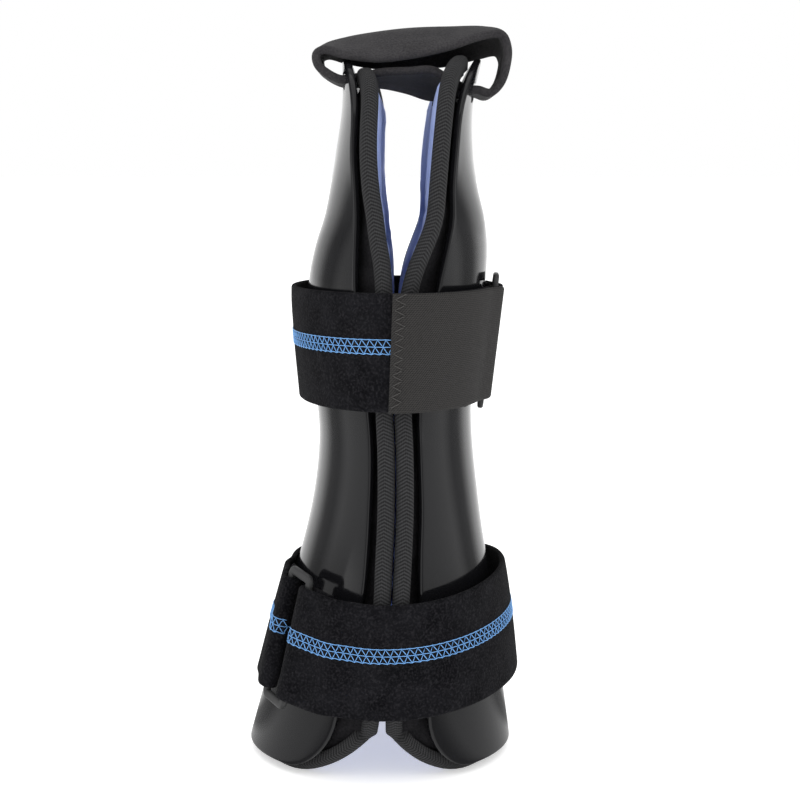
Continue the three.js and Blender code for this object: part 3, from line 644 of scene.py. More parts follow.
# %% Starting a material
def new_material(name, base, roughness, **shader_inputs):
    material = bpy.data.materials.new(name)
    material.use_nodes = True
    tree = material.node_tree
    shader = tree.nodes["Principled BSDF"]
    shader.inputs["Base Color"].default_value = (*base, 1)
    shader.inputs["Roughness"].default_value = roughness
    for label, value in shader_inputs.items():
        shader.inputs[label.replace("_", " ")].default_value = value
    return material, tree, shader


def place_coordinate(tree):
    return add_node(tree, "ShaderNodeTexCoord").outputs["Object"]


def length_coordinates(tree):
    lengths = add_node(tree, "ShaderNodeUVMap", uv_map="lengths")
    parts = add_node(tree, "ShaderNodeSeparateXYZ", {"Vector": lengths.outputs[0]})
    return parts.outputs["X"], parts.outputs["Y"]


# %% [markdown]
# Cloth and plastic are never even. Noise at the size of a fibre, a tuft or a cloud varies their tone and
# their relief, and waves at the pitch of the yarns draw the weaves.


# %% Patterns, mixes and bumps
def noise(tree, coordinate, size_mm, detail=2.0):
    settings = {"Vector": coordinate, "Scale": 1 / (size_mm * MM), "Detail": detail}
    return add_node(tree, "ShaderNodeTexNoise", settings).outputs["Fac"]


def waves(tree, coordinate, pitch_mm):
    return math_node(tree, "SINE", math_node(tree, "MULTIPLY", coordinate, 2 * math.pi / pitch_mm))


def mix_colors(tree, factor, first, second):
    made = add_node(tree, "ShaderNodeMix", data_type="RGBA")
    tree.links.new(factor, made.inputs["Factor"])
    for label, color in (("A", first), ("B", second)):
        socket = [s for s in made.inputs if s.name == label and s.type == "RGBA"][0]
        if isinstance(color, bpy.types.NodeSocket):
            tree.links.new(color, socket)
        else:
            socket.default_value = (*color, 1)
    return [s for s in made.outputs if s.type == "RGBA"][0]


def add_bump(tree, shader, height, depth_mm, strength=1.0):
    settings = {"Height": height, "Distance": depth_mm * MM, "Strength": strength}
    bump = add_node(tree, "ShaderNodeBump", settings)
    tree.links.new(bump.outputs[0], shader.inputs["Normal"])


# %% [markdown]
# The shells are moulded black plastic with a shiny skin. Their haze varies a little from place to place, and
# a very shallow bump makes the reflections swim, as they do on a real moulding.


# %% Glossy black plastic of the shells
def shell_plastic():
    material, tree, shader = new_material("shell_plastic", (0.006, 0.006, 0.007), 0.16, IOR=1.5)
    places = place_coordinate(tree)
    clouds = noise(tree, places, 14, 3)
    haze = grey_ramp(tree, clouds, [(0.35, 0.09), (0.7, 0.15)])
    tree.links.new(haze, shader.inputs["Roughness"])
    flow = noise(tree, places, 28, 1)
    add_bump(tree, shader, flow, 0.12, 0.35)
    return material


PLASTIC = shell_plastic()
print("material:", PLASTIC.name)


# %% [markdown]
# Loop pile is a deep black cloth of tiny loops. It swallows light, so its shine is nearly none, and fine
# noise gives the loops their speckle and their relief.


# %% Black pile of the straps
def loop_pile():
    material, tree, shader = new_material(
        "loop_pile",
        (0.008, 0.008, 0.009),
        0.95,
        Sheen_Weight=0.02,
        Sheen_Roughness=0.45,
        Specular_IOR_Level=0.07,
    )
    places = place_coordinate(tree)
    tufts = noise(tree, places, 0.75, 3)
    nap = noise(tree, places, 9, 2)
    speckle = color_ramp(tree, tufts, [(0.42, (0.002, 0.002, 0.003)), (0.72, (0.024, 0.023, 0.026))])
    worn = color_ramp(tree, nap, [(0.35, (0.003, 0.003, 0.004)), (0.7, (0.01, 0.01, 0.012))])
    half = math_node(tree, "MULTIPLY", tufts, 0.9)
    tree.links.new(mix_colors(tree, half, worn, speckle), shader.inputs["Base Color"])
    add_bump(tree, shader, tufts, 0.5, 0.9)
    return material


PILE = loop_pile()
print("material:", PILE.name)


# %% [markdown]
# Thread is twisted, so the bump on its tube is a wave along its length.


# %% Sewing thread
THREAD_TWIST = 0.9


def sewing_thread(name, color):
    material, tree, shader = new_material(name, color, 0.5, Sheen_Weight=0.1, Sheen_Roughness=0.3)
    along, _ = length_coordinates(tree)
    add_bump(tree, shader, waves(tree, along, THREAD_TWIST), 0.05, 0.5)
    return material


THREAD = sewing_thread("blue_thread", (0.15, 0.37, 0.74))
DARK_THREAD = sewing_thread("dark_thread", (0.055, 0.052, 0.05))
print("materials:", THREAD.name, DARK_THREAD.name)


# %% [markdown]
# The back of the hook tab is a plain dark weave with a slight diagonal. Two waves at different pitches, one
# of them on the slope, draw it in the lengths of the cloth.


# %% Woven face of the hook tab
TWILL_PITCH, TWILL_SLOPE, WEFT_PITCH = 0.85, 0.8, 0.62


def hook_weave():
    material, tree, shader = new_material(
        "hook_weave", (0.036, 0.034, 0.034), 0.75, Sheen_Weight=0.02, Specular_IOR_Level=0.15
    )
    along, across = length_coordinates(tree)
    slope = math_node(tree, "ADD", along, math_node(tree, "MULTIPLY", across, TWILL_SLOPE))
    twill = waves(tree, slope, TWILL_PITCH)
    rows = waves(tree, across, WEFT_PITCH)
    weave = math_node(tree, "MULTIPLY_ADD", twill, 0.3, math_node(tree, "MULTIPLY_ADD", rows, 0.2, 0.5))
    grain = noise(tree, place_coordinate(tree), 0.5, 2)
    height = math_node(tree, "MULTIPLY_ADD", grain, 0.5, math_node(tree, "MULTIPLY", weave, 0.6))
    tone = color_ramp(tree, height, [(0.3, (0.013, 0.0125, 0.0125)), (0.75, (0.04, 0.038, 0.037))])
    tree.links.new(tone, shader.inputs["Base Color"])
    add_bump(tree, shader, height, 0.16, 0.7)
    return material


WEAVE = hook_weave()
print("material:", WEAVE.name)


# %% [markdown]
# Herringbone is a twill that turns back at every column. Folding the width back and forth before adding the
# slope makes the ribs meet in points along a spine.


# %% Herringbone tape of the bindings
HERRINGBONE_COLUMN, HERRINGBONE_PITCH, HERRINGBONE_SLOPE = 3.5, 1.15, 0.55
YARN_PITCH = 0.58


def binding_tape():
    material, tree, shader = new_material(
        "binding_tape", (0.02, 0.02, 0.021), 0.8, Sheen_Weight=0.02, Specular_IOR_Level=0.15
    )
    along, across = length_coordinates(tree)
    fold = math_node(tree, "PINGPONG", across, HERRINGBONE_COLUMN)
    ribs = waves(tree, math_node(tree, "MULTIPLY_ADD", fold, HERRINGBONE_SLOPE, along), HERRINGBONE_PITCH)
    yarns = waves(tree, across, YARN_PITCH)
    weave = math_node(tree, "MULTIPLY_ADD", ribs, 0.3, math_node(tree, "MULTIPLY_ADD", yarns, 0.12, 0.5))
    grain = noise(tree, place_coordinate(tree), 0.6, 2)
    height = math_node(tree, "MULTIPLY_ADD", grain, 0.35, math_node(tree, "MULTIPLY", weave, 0.7))
    tone = color_ramp(tree, height, [(0.28, (0.009, 0.009, 0.0095)), (0.8, (0.042, 0.042, 0.044))])
    tree.links.new(tone, shader.inputs["Base Color"])
    add_bump(tree, shader, height, 0.2, 0.8)
    return material


TAPE = binding_tape()
print("material:", TAPE.name)


# %% [markdown]
# Lining, backing and heel strap are brushed cloths. One recipe makes all three: two tones mixed by fine
# fibres and broad clouds, a soft bump and a little sheen.


# %% Brushed cloths of the pads and the heel strap
def brushed(name, low, high, grain_mm, sheen):
    material, tree, shader = new_material(
        name, low, 0.95, Sheen_Weight=sheen, Sheen_Roughness=0.5, Specular_IOR_Level=0.1
    )
    places = place_coordinate(tree)
    fibres = noise(tree, places, grain_mm, 4)
    clouds = noise(tree, places, 11, 2)
    both = math_node(tree, "MULTIPLY_ADD", clouds, 0.4, math_node(tree, "MULTIPLY", fibres, 0.6))
    tree.links.new(color_ramp(tree, both, [(0.33, low), (0.67, high)]), shader.inputs["Base Color"])
    add_bump(tree, shader, fibres, 0.22, 0.6)
    return material


LINING = brushed("pad_lining", (0.3, 0.39, 0.7), (0.4, 0.49, 0.82), 0.5, 0.15)
BACKING = brushed("pad_backing", (0.005, 0.005, 0.006), (0.02, 0.019, 0.021), 0.7, 0.03)
HEEL_CLOTH = brushed("heel_cloth", (0.018, 0.017, 0.019), (0.046, 0.044, 0.046), 0.6, 0.06)
print("materials:", LINING.name, BACKING.name, HEEL_CLOTH.name)


# %% [markdown]
# The rings are dark grey plastic with a fine matte grain.


# %% Matte plastic of the rings
def ring_plastic():
    material, tree, shader = new_material("ring_plastic", (0.035, 0.035, 0.036), 0.42)
    places = place_coordinate(tree)
    grain = noise(tree, places, 0.35, 2)
    add_bump(tree, shader, grain, 0.03, 0.5)
    clouds = noise(tree, places, 6, 2)
    haze = grey_ramp(tree, clouds, [(0.3, 0.36), (0.7, 0.5)])
    tree.links.new(haze, shader.inputs["Roughness"])
    return material


MATTE = ring_plastic()
print("material:", MATTE.name)


# %% [markdown]
# Shells and pads are plates with rounded ends. Rows and columns crowd together towards the border, where the
# edge is rounded, and are wide apart in the middle, where the plate is nearly flat.


# %% Places across a rounded outline
EDGE_STEPS = np.array([0, 0.1, 0.3, 0.6, 1.0, 1.8, 3.0])
CORNER_STEPS = np.array([0, 0.1, 0.3, 0.6, 1.0, 1.7, 2.8, 4.3, 6.4, 9, 12, 15.5, 19])
print("rows crowd over the last", CORNER_STEPS[-1], "mm of each end")


def corner_cut(distance, corner):
    inside = np.clip(corner - distance, 0, corner)
    return corner - np.sqrt(corner**2 - inside**2)


def outline_distance(to_side, to_end, corner):
    near = (to_side < corner) & (to_end < corner)
    rounded = corner - np.hypot(corner - to_side, corner - to_end)
    return np.where(near, rounded, np.minimum(to_side, to_end))


def outline_rows(bottom, top, spacing):
    low, high = bottom + CORNER_STEPS, top - CORNER_STEPS[::-1]
    count = int((high[0] - low[-1]) / spacing)
    return np.concatenate([low, np.linspace(low[-1], high[0], count + 1)[1:-1], high])


def outline_columns(first, last, count):
    """For each row, places from first to last: crowded at both ends and even between."""
    inner = np.linspace(0, 1, count)[None, 1:-1]
    low = first[:, None] + EDGE_STEPS
    high = last[:, None] - EDGE_STEPS[::-1]
    return np.concatenate([low, low[:, -1:] + (high[:, :1] - low[:, -1:]) * inner, high], axis=1)


# %% [markdown]
# A shell's outer face follows the table of sections and its inner face lies one wall inside it. The edge is
# rounded, because it is the edge that catches a bright line of light. The slot is cut last.

# %% Shells
SHELL_EDGE = 0.9
SHELL_ROW, SHELL_COLUMNS = 3.5, 36


def make_shell(side, label):
    z = outline_rows(SHELL_RISE, SHELL_TOP, SHELL_ROW)
    cut = corner_cut(z - SHELL_RISE, SHELL_CALF_CORNER) + corner_cut(SHELL_TOP - z, SHELL_HEEL_CORNER)
    reach = section_at(z)[4]
    along = outline_columns(cut - reach, reach - cut, SHELL_COLUMNS)
    outer = shell_points(side, z[:, None], along)
    level = grid_normals(outer)
    level[..., 2] = 0
    level /= np.linalg.norm(level, axis=-1, keepdims=True)
    level *= np.sign(level[..., :1] * side)
    to_side = reach[:, None] - abs(along)
    low = outline_distance(to_side, (z - SHELL_RISE)[:, None], SHELL_CALF_CORNER)
    high = outline_distance(to_side, (SHELL_TOP - z)[:, None], SHELL_HEEL_CORNER)
    half = rounded_half(SHELL_WALL / 2, SHELL_EDGE, np.minimum(low, high))[..., None]
    middle = outer - level * SHELL_WALL / 2
    lengths = (z, along[len(z) // 2])
    piece = slab_object("shell_" + label, middle + level * half, middle - level * half, lengths)
    return finish_piece(cut_slot(piece, side), PLASTIC, "shell_" + label)


for side, label in ((-1, "left"), (1, "right")):
    make_shell(side, label)


# %% [markdown]
# A pad is foam between a blue brushed lining and a black backing. It is thin at its bound rim and swells
# to its full thickness beside the tape, as sewn foam does. The pads' rims lean on each other in the middle,
# so the inner face is kept behind the half gap.

# %% Pads
FOAM_MARGIN = BINDING_WALL + PIECE_GAP
FOAM_RIM = RIM_WIDTH / 2 - FOAM_MARGIN - PIECE_GAP
FOAM_SEAM = BINDING_DEPTH - FOAM_MARGIN + PIECE_GAP
FOAM_ROLL = 6.5
PAD_ROW, PAD_COLUMNS = 3.2, 48


def pad_grids(side):
    """The pad's outer and inner face, how far each place is from the rim, and the lengths on it."""
    top = PAD_TOPS[side] - FOAM_MARGIN
    corners = (PAD_CALF_CORNER - FOAM_MARGIN, PAD_HEEL_CORNER - FOAM_MARGIN)
    z = outline_rows(FOAM_MARGIN, top, PAD_ROW)
    cut = corner_cut(z - FOAM_MARGIN, corners[0]) + corner_cut(top - z, corners[1])
    front = pad_reach(z, True) - FOAM_MARGIN
    back = pad_reach(z, False) - FOAM_MARGIN
    along = outline_columns(cut - front, back - cut, PAD_COLUMNS)
    middle = pad_points(side, z, along)
    level = grid_normals(middle)
    level[..., 2] = 0
    level /= np.linalg.norm(level, axis=-1, keepdims=True)
    level *= np.sign(level[len(z) // 2, along.shape[1] // 2, 0] * side)
    to_side = np.minimum(along + front[:, None], back[:, None] - along)
    low = outline_distance(to_side, (z - FOAM_MARGIN)[:, None], corners[0])
    high = outline_distance(to_side, (top - z)[:, None], corners[1])
    distance = np.minimum(low, high)
    rise = np.clip((distance - FOAM_SEAM) / FOAM_ROLL, 0, 1)
    swell = np.sqrt(1 - (1 - rise) ** 2)
    rim = rounded_half(FOAM_RIM, FOAM_RIM * 0.95, distance)
    outward = rim + (RIM_WIDTH / 2 - PAD_RELIEF - FOAM_RIM) * swell
    inward = rim + (PAD_THICKNESS - RIM_WIDTH / 2 - FOAM_RIM) * swell
    outer = middle + level * outward[..., None]
    inner = middle - level * inward[..., None]
    shift = section_at(z)[2][:, None]
    least = half_gap(z[:, None], inner[..., 1] < 0) + np.where(swell > 0, 0, RIM_WIDTH / 2 - FOAM_RIM)
    inner[..., 0] = side * np.maximum(side * (inner[..., 0] - shift), least) + shift
    return outer, inner, distance, (z, along[len(z) // 2])


# %% [markdown]
# Foam presses its cover outward, and the cover is held where it is sewn under the tape. That is a cloth with
# pressure inside and its seam pinned. A few frames without gravity are enough. The movement is then cut off
# at the room that the pad has, a little towards the shell and more towards the leg.

# %% Soft swelling of the foam
CLOTH_FRAMES = 16
CLOTH_PRESSURE = 4.0
CLOTH_GROWTH, CLOTH_MASS, CLOTH_QUALITY = 0.008, 0.2, 6
CLOTH_TENSION, CLOTH_BENDING = 12, 3
SWELL_OUT, SWELL_IN = 0.5, 1.1


def seam_group(piece, distance):
    """How firmly each point is held. The weights of the outer face repeat on the inner one."""
    held = piece.vertex_groups.new(name="seam")
    free = np.clip((distance - FOAM_SEAM) / FOAM_ROLL, 0, 1).reshape(-1)
    weights = np.resize(1 - free, len(piece.data.vertices))
    for index, weight in enumerate(weights):
        held.add([index], float(weight), "REPLACE")
    return held


def cover_cloth(piece):
    cloth = piece.modifiers.new("cover", "CLOTH")
    cloth.settings.quality = CLOTH_QUALITY
    cloth.settings.mass = CLOTH_MASS
    cloth.settings.tension_stiffness = CLOTH_TENSION
    cloth.settings.bending_stiffness = CLOTH_BENDING
    cloth.settings.use_pressure = True
    cloth.settings.uniform_pressure_force = CLOTH_PRESSURE
    cloth.settings.shrink_min = -CLOTH_GROWTH
    cloth.settings.vertex_group_mass = "seam"
    cloth.settings.effector_weights.gravity = 0
    cloth.point_cache.frame_start = 1
    cloth.point_cache.frame_end = CLOTH_FRAMES
    return cloth


def soften_pad(piece, side, distance):
    """The cover swells under the foam's pressure, held at the seam, and moves no further than its room."""
    held = seam_group(piece, distance)
    cloth = cover_cloth(piece)
    scene = bpy.context.scene
    for number in range(1, CLOTH_FRAMES + 1):
        scene.frame_set(number)
    swollen = piece.evaluated_get(bpy.context.evaluated_depsgraph_get())
    count = len(piece.data.vertices)
    before, after = np.empty(count * 3), np.empty(count * 3)
    piece.data.vertices.foreach_get("co", before)
    swollen.data.vertices.foreach_get("co", after)
    move = (after - before).reshape(-1, 3) / MM
    move[:, 2] = 0
    length = np.linalg.norm(move, axis=1, keepdims=True)
    room = np.where(move[:, :1] * side > 0, SWELL_OUT, SWELL_IN)
    move *= np.minimum(1, room / np.maximum(length, 1e-6))
    piece.modifiers.remove(cloth)
    piece.vertex_groups.remove(held)
    piece.data.vertices.foreach_set("co", before + move.reshape(-1) * MM)
    piece.data.update()
    scene.frame_set(1)
    print(piece.name, "swelled by up to", round(float(np.linalg.norm(move, axis=1).max()), 2), "mm")


# %% [markdown]
# A pad has two cloths, so its mesh carries two materials. They are dealt out before the notch is cut, while
# the order of the points still tells the inner face from the outer one.


# %% Lining, backing and the two pads
def line_pad(piece):
    """Blue lining on the inner face, whose points are the second half, and black backing on the others."""
    piece.data.materials.append(BACKING)
    piece.data.materials.append(LINING)
    first_inner = len(piece.data.vertices) // 2
    lining = [int(min(face.vertices) >= first_inner) for face in piece.data.polygons]
    piece.data.polygons.foreach_set("material_index", lining)


def make_pad(side, label):
    outer, inner, distance, lengths = pad_grids(side)
    piece = slab_object("pad_" + label, outer, inner, lengths)
    soften_pad(piece, side, distance)
    line_pad(piece)
    cut_notch(piece, side)
    finish_piece(piece, None, "pad_" + label)
    return piece


for side, label in ((-1, "left"), (1, "right")):
    make_pad(side, label)


# %% [markdown]
# The binding is a herringbone tape folded round the pad's rim and sewn through. Its folded section is
# carried round the pad's outline, and the lengths along and round it place the weave.


# %% Run of a binding round a pad
BINDING_CORNER_STEPS, BINDING_BODY_STEPS, BINDING_END_STEPS = 21, 64, 25


def outline_run(side):
    """Heights and places along, round the outline of a pad: up the front, over, down the back and under."""
    turns = np.linspace(0, np.pi / 2, BINDING_CORNER_STEPS)
    top = PAD_TOPS[side]
    low = PAD_CALF_CORNER * (1 - np.cos(turns))
    high = top - PAD_HEEL_CORNER * (1 - np.cos(turns[::-1]))
    body = np.linspace(low[-1], high[0], BINDING_BODY_STEPS + 1)[1:-1]
    z = np.concatenate([low, body, high])
    cut = corner_cut(z, PAD_CALF_CORNER) + corner_cut(top - z, PAD_HEEL_CORNER)
    front = cut - pad_reach(z, True)
    back = pad_reach(z, False) - cut
    shares = np.linspace(0, 1, BINDING_END_STEPS + 1)[1:-1]
    over = front[-1] + (back[-1] - front[-1]) * shares
    under = back[0] + (front[0] - back[0]) * shares
    heights = [z, np.full(len(shares), top), z[::-1], np.zeros(len(shares))]
    return np.concatenate(heights), np.concatenate([front, over, back[::-1], under])


def binding_frames(side):
    z, along = outline_run(side)
    nudge = 0.4
    column = along[:, None]
    inner = column - np.sign(column) * nudge
    point = pad_points(side, z, column)[:, 0]
    upward = (pad_points(side, z + nudge, column) - pad_points(side, z - nudge, column))[:, 0]
    sideways = point - pad_points(side, z, inner)[:, 0]
    surface = np.cross(upward, sideways) * np.sign(column) * -side
    surface /= np.linalg.norm(surface, axis=1, keepdims=True)
    forward = np.roll(point, -1, axis=0) - np.roll(point, 1, axis=0)
    out = np.cross(forward, surface)
    out /= np.linalg.norm(out, axis=1, keepdims=True)
    centre = np.array([0, 0, PAD_TOPS[side] / 2])
    sign = np.sign((out * (point - centre) * [0, 1, 1]).sum(axis=1, keepdims=True))
    return point, out * sign, surface


# %% [markdown]
# Seen end on, the folded tape is a thick U: outside round the rim, back inside along its own wall.

# %% Folded section of the tape: how far out and how far to the side, round its outside and back inside
TAPE_CORNER, TAPE_WALL_SHARE = 2.3, 0.85


def tape_section():
    half, corner = RIM_WIDTH / 2, TAPE_CORNER
    turns = np.linspace(0, np.pi / 2, 8)
    outside = [(-BINDING_DEPTH + 0.3, -half), (-BINDING_DEPTH / 2 - 1, -half)]
    outside += [(-corner + corner * np.sin(t), -half + corner - corner * np.cos(t)) for t in turns]
    outside += [(-corner + corner * np.cos(t), half - corner + corner * np.sin(t)) for t in turns]
    outside += [(-BINDING_DEPTH / 2 - 1, half), (-BINDING_DEPTH + 0.3, half)]
    wall = BINDING_WALL * TAPE_WALL_SHARE
    end = [(-BINDING_DEPTH, half - wall * 0.35), (-BINDING_DEPTH, half - wall * 0.7)]
    inside = [(-BINDING_DEPTH + 0.2, half - wall), (-wall - 0.6, half - wall), (-wall, half - wall - 0.6)]
    back = [(out, -off) for out, off in reversed(end + inside)]
    return np.array(outside + end + inside + back)


# %% [markdown]
# The section is set up at every point of the run, out from the pad's rim and across its surface. The weave's
# spine is placed in the middle of the tape's visible face.


# %% Bindings
def make_binding(side, label):
    point, out, surface = binding_frames(side)
    section = tape_section()
    grid = point[:, None] + out[:, None] * section[None, :, :1] + surface[:, None] * section[None, :, 1:]
    along = run_lengths(point, wrap=True)
    around = run_lengths(section, wrap=True)
    middle = around[np.argmin(abs(section[:, 1]) + 9 * (section[:, 0] < -1))]
    piece = swept_object("binding_" + label, grid, (along, around - middle + HERRINGBONE_COLUMN * 4))
    cut_notch(piece, side)
    return finish_piece(piece, TAPE, "binding_" + label)


for side, label in ((-1, "left"), (1, "right")):
    make_binding(side, label)


# %% [markdown]
# Both straps lie on a loop that follows the shells with a little ease. A strap is a run of stations, each
# with its angle round the brace and its distance off the loop. Where it folds round a bar of its ring, the
# stations are laid in the ring's own frame, so that cloth and plastic keep clear of each other.

# %% Points beside a strap's loop
LAYER = STRAP_THICKNESS + PIECE_GAP
INNER_LAYER = STRAP_THICKNESS / 2
FOLD_RADIUS = PIECE_GAP + STRAP_THICKNESS / 2
FOLD_RISE = RING_THICKNESS / 2 + FOLD_RADIUS
RING_OUT = INNER_LAYER + FOLD_RISE
BAR_SPACING = RING_WIDTH - RING_BAR
BAR_ROUNDS = 6


def strap_points(strap, angle, out, across):
    """Points for arrays of angles in degrees, distances off the loop and shares of the strap's width."""
    turn = np.radians(np.asarray(angle, float))
    z = strap["height"] + strap["rise"] * np.cos(turn) ** 2 + np.asarray(across, float) * STRAP_WIDTH
    width, depth, shift, _, _ = section_at(z)
    left = width - shift + strap["ease_left"]
    right = width + shift + strap["ease_right"]
    deep = depth + PAD_OVERHANG + STRAP_EASE
    wide = np.where(np.cos(turn) < 0, left, right)
    length = np.hypot(deep * np.cos(turn), wide * np.sin(turn))
    x = wide * np.cos(turn) + out * deep * np.cos(turn) / length
    y = deep * np.sin(turn) + out * wide * np.sin(turn) / length
    return np.stack(np.broadcast_arrays(x, y, z), -1)


# %% [markdown]
# A ring is flat and rigid, while the strap's loop is curved. The two bars are found on the loop, and the
# ring's own frame is laid through them.


# %% A ring's bars and its frame
def bar_angle(strap, end):
    """Angle of a bar of the strap's ring: end is -1 for the bar at the smaller angle."""
    def at(place):
        return strap_points(strap, place, RING_OUT, 0)

    middle, angle = at(strap["ring"]), float(strap["ring"])
    for _ in range(BAR_ROUNDS):
        speed = np.linalg.norm(at(angle + 1) - at(angle))
        angle += end * (BAR_SPACING / 2 - np.linalg.norm(middle - at(angle))) / speed
    return angle


def ring_frame(strap):
    bars = [bar_angle(strap, end) for end in (-1, 1)]

    def bar(k, across):
        return strap_points(strap, bars[k], RING_OUT, across)

    def middle(across):
        return (bar(0, across) + bar(1, across)) / 2

    long = middle(0.5) - middle(-0.5)
    long /= np.linalg.norm(long)
    facing = np.cross(bar(1, 0) - bar(0, 0), long)
    facing /= np.linalg.norm(facing)
    return middle(0), np.cross(long, facing), long, facing


# %% [markdown]
# A strap's end goes through the ring, turns round its bar and lies back on itself. Two kinds of stations
# describe that: beside the loop, and round a bar in the ring's own frame.

# %% Stations of a strap: ("loop", angle, out) beside the loop or ("bar", wide, facing) in the ring's frame
CORNER_TURNS = 7


def bar_turn(end):
    """Round both corners of a ring's bar, from the inner layer to the outer one."""
    stations = []
    corner = BAR_SPACING / 2 - RING_BAR / 2
    for face in (-1, 1):
        for turn in np.radians(90 * (np.linspace(0, 1, CORNER_TURNS) - (face < 0))):
            wide = end * (corner - FOLD_RADIUS * np.cos(turn))
            stations.append(("bar", wide, face * RING_THICKNESS / 2 + FOLD_RADIUS * np.sin(turn)))
    return stations + [("bar", end * (BAR_SPACING / 2 + RING_BAR / 2 + PIECE_GAP), FOLD_RISE)]


def loop_stations(*stops, step=1.5):
    """Stations that ease from one (angle, out) to the next."""
    run = [("loop", *stops[0])]
    for (angle, out), (next_angle, next_out) in zip(stops, stops[1:]):
        count = max(1, round(abs(next_angle - angle) / step))
        share = np.arange(1, count + 1) / count
        ease = share * share * (3 - 2 * share)
        outs = out + (next_out - out) * ease
        run += [("loop", a, o) for a, o in zip(angle + (next_angle - angle) * share, outs)]
    return run


def folded_end(strap, end):
    bar = bar_angle(strap, end)
    doubled = INNER_LAYER + LAYER
    inner = loop_stations((bar + end * FOLD_SWEEP, INNER_LAYER), (bar + end * FOLD_CLEAR, INNER_LAYER))
    outer = loop_stations(
        (bar + end * FOLD_SETTLE, doubled),
        (bar + end * (FOLD_SWEEP + FOLD_REST), doubled),
        (bar + end * (FOLD_SWEEP + FOLD_SETTLE), INNER_LAYER),
    )
    return inner + bar_turn(end) + outer


# %% [markdown]
# The stations are uneven: close together round a bar and far apart along the loop. The run is resampled at
# one even spacing and smoothed a little, as stiff webbing would lie.


# %% Points of a run, evenly spaced
def run_points(strap, run, across):
    """The grid of a run's stations by shares of the strap's width."""
    middle, wide, long, facing = ring_frame(strap)
    rows = []
    for kind, first, second in run:
        if kind == "loop":
            rows.append(strap_points(strap, first, second, across))
        else:
            rows.append(middle + first * wide + second * facing + long * across[:, None] * STRAP_WIDTH)
    return np.array(rows)


def even_run(grid, spacing):
    """The grid with its rows resampled at an even spacing along a curve through its middle column."""
    lengths = run_lengths(grid[:, grid.shape[1] // 2])
    count = int(lengths[-1] / spacing)
    places = np.linspace(0, lengths[-1], count + 1)
    flat = grid.reshape(len(grid), -1)
    even = np.stack([np.interp(places, lengths, flat[:, k]) for k in range(flat.shape[1])], -1)
    for _ in range(3):
        even[1:-1] = (even[:-2] + 2 * even[1:-1] + even[2:]) / 4
    return even.reshape(len(places), grid.shape[1], 3), places


# %% [markdown]
# Each band of cloth has soft rounded edges and a faint unevenness, the sum of a few long waves. The blue
# seam is laid on the same grid later, so it follows the cloth.

# %% Bands of cloth
BAND_EDGE = np.array([0, 0.08, 0.25, 0.5, 0.85, 1.3, 2.0])
BAND_COLUMNS, BAND_STEP, BAND_RIPPLE = 20, 1.3, 0.06
RIPPLE_WAVES = 9


def band_columns(width, count):
    inner = np.linspace(BAND_EDGE[-1], width - BAND_EDGE[-1], count)[1:-1]
    places = np.concatenate([BAND_EDGE, inner, width - BAND_EDGE[::-1]])
    return places / width - 0.5, places


def ripple(places, across, size, seed):
    """A gentle unevenness over a strip of cloth, the same each run."""
    waves = np.random.default_rng(seed)
    total = np.zeros((len(places), len(across)))
    for _ in range(RIPPLE_WAVES):
        length, tilt, phase = waves.uniform(14, 46), waves.uniform(-0.6, 0.6), waves.uniform(0, 2 * np.pi)
        total += np.sin(2 * np.pi * places[:, None] / length + tilt * across[None] / 4 + phase)
    return size * total / 3


def band_object(name, strap, run, seed, half=STRAP_THICKNESS / 2):
    across, columns = band_columns(STRAP_WIDTH, BAND_COLUMNS)
    grid, places = even_run(run_points(strap, run, across), BAND_STEP)
    ends = np.minimum(places, places[-1] - places)[:, None]
    sides = np.minimum(columns, STRAP_WIDTH - columns)[None]
    distance = np.minimum(ends, sides)
    normal = grid_normals(grid)
    thick = rounded_half(half, half * 0.95, distance)[..., None]
    soft = ripple(places, columns, BAND_RIPPLE, seed)[..., None]
    piece = slab_object(name, grid + normal * (thick + soft), grid - normal * thick, (places, columns))
    return piece, grid, normal, places


# %% [markdown]
# The lower strap is folded at both ends of its run. The upper one is folded at one end and sewn to the hook
# tab at the other, and the tab turns round the ring's front bar and lies back over the strap.


# %% Upper strap, lower strap and hook tab
def upper_strap_run():
    start = folded_end(UPPER_STRAP, 1)
    end = bar_angle(UPPER_STRAP, -1) + 360 - TAB_JOINT
    return start + loop_stations(start[-1][1:], (end, INNER_LAYER))[1:]


def lower_strap_run():
    front = folded_end(LOWER_STRAP, 1)
    rear = []
    for kind, first, second in reversed(folded_end(LOWER_STRAP, -1)):
        rear.append((kind, first + 360 if kind == "loop" else first, second))
    return front + loop_stations(front[-1][1:], rear[0][1:])[1:] + rear[1:]


def hook_tab_run():
    bar = bar_angle(UPPER_STRAP, -1)
    doubled = INNER_LAYER + LAYER
    return bar_turn(-1) + loop_stations((bar - FOLD_SETTLE, doubled), (TAB_END, doubled))


# %% [markdown]
# The grids of the three bands are kept, because their seams are laid on them.


# %% The three bands
upper, upper_grid, upper_normal, upper_places = band_object("upper_strap", UPPER_STRAP, upper_strap_run(), 3)
finish_piece(upper, PILE, "upper_strap")
lower, lower_grid, lower_normal, lower_places = band_object("lower_strap", LOWER_STRAP, lower_strap_run(), 5)
finish_piece(lower, PILE, "lower_strap")
TAB_HALF = 1.1
tab_run = hook_tab_run()
tab, tab_grid, tab_normal, tab_places = band_object("upper_hook_tab", UPPER_STRAP, tab_run, 8, TAB_HALF)
finish_piece(tab, WEAVE, "upper_hook_tab")


# %% [markdown]
# The blue seam is a cover stitch: three rows of needle points joined by zigzags of looper thread. Its path is
# five thread lines, each a few corners that repeat at every stitch, laid on the strap's surface as thin
# tubes. Drawn in the material it would have no relief, so the threads are real.

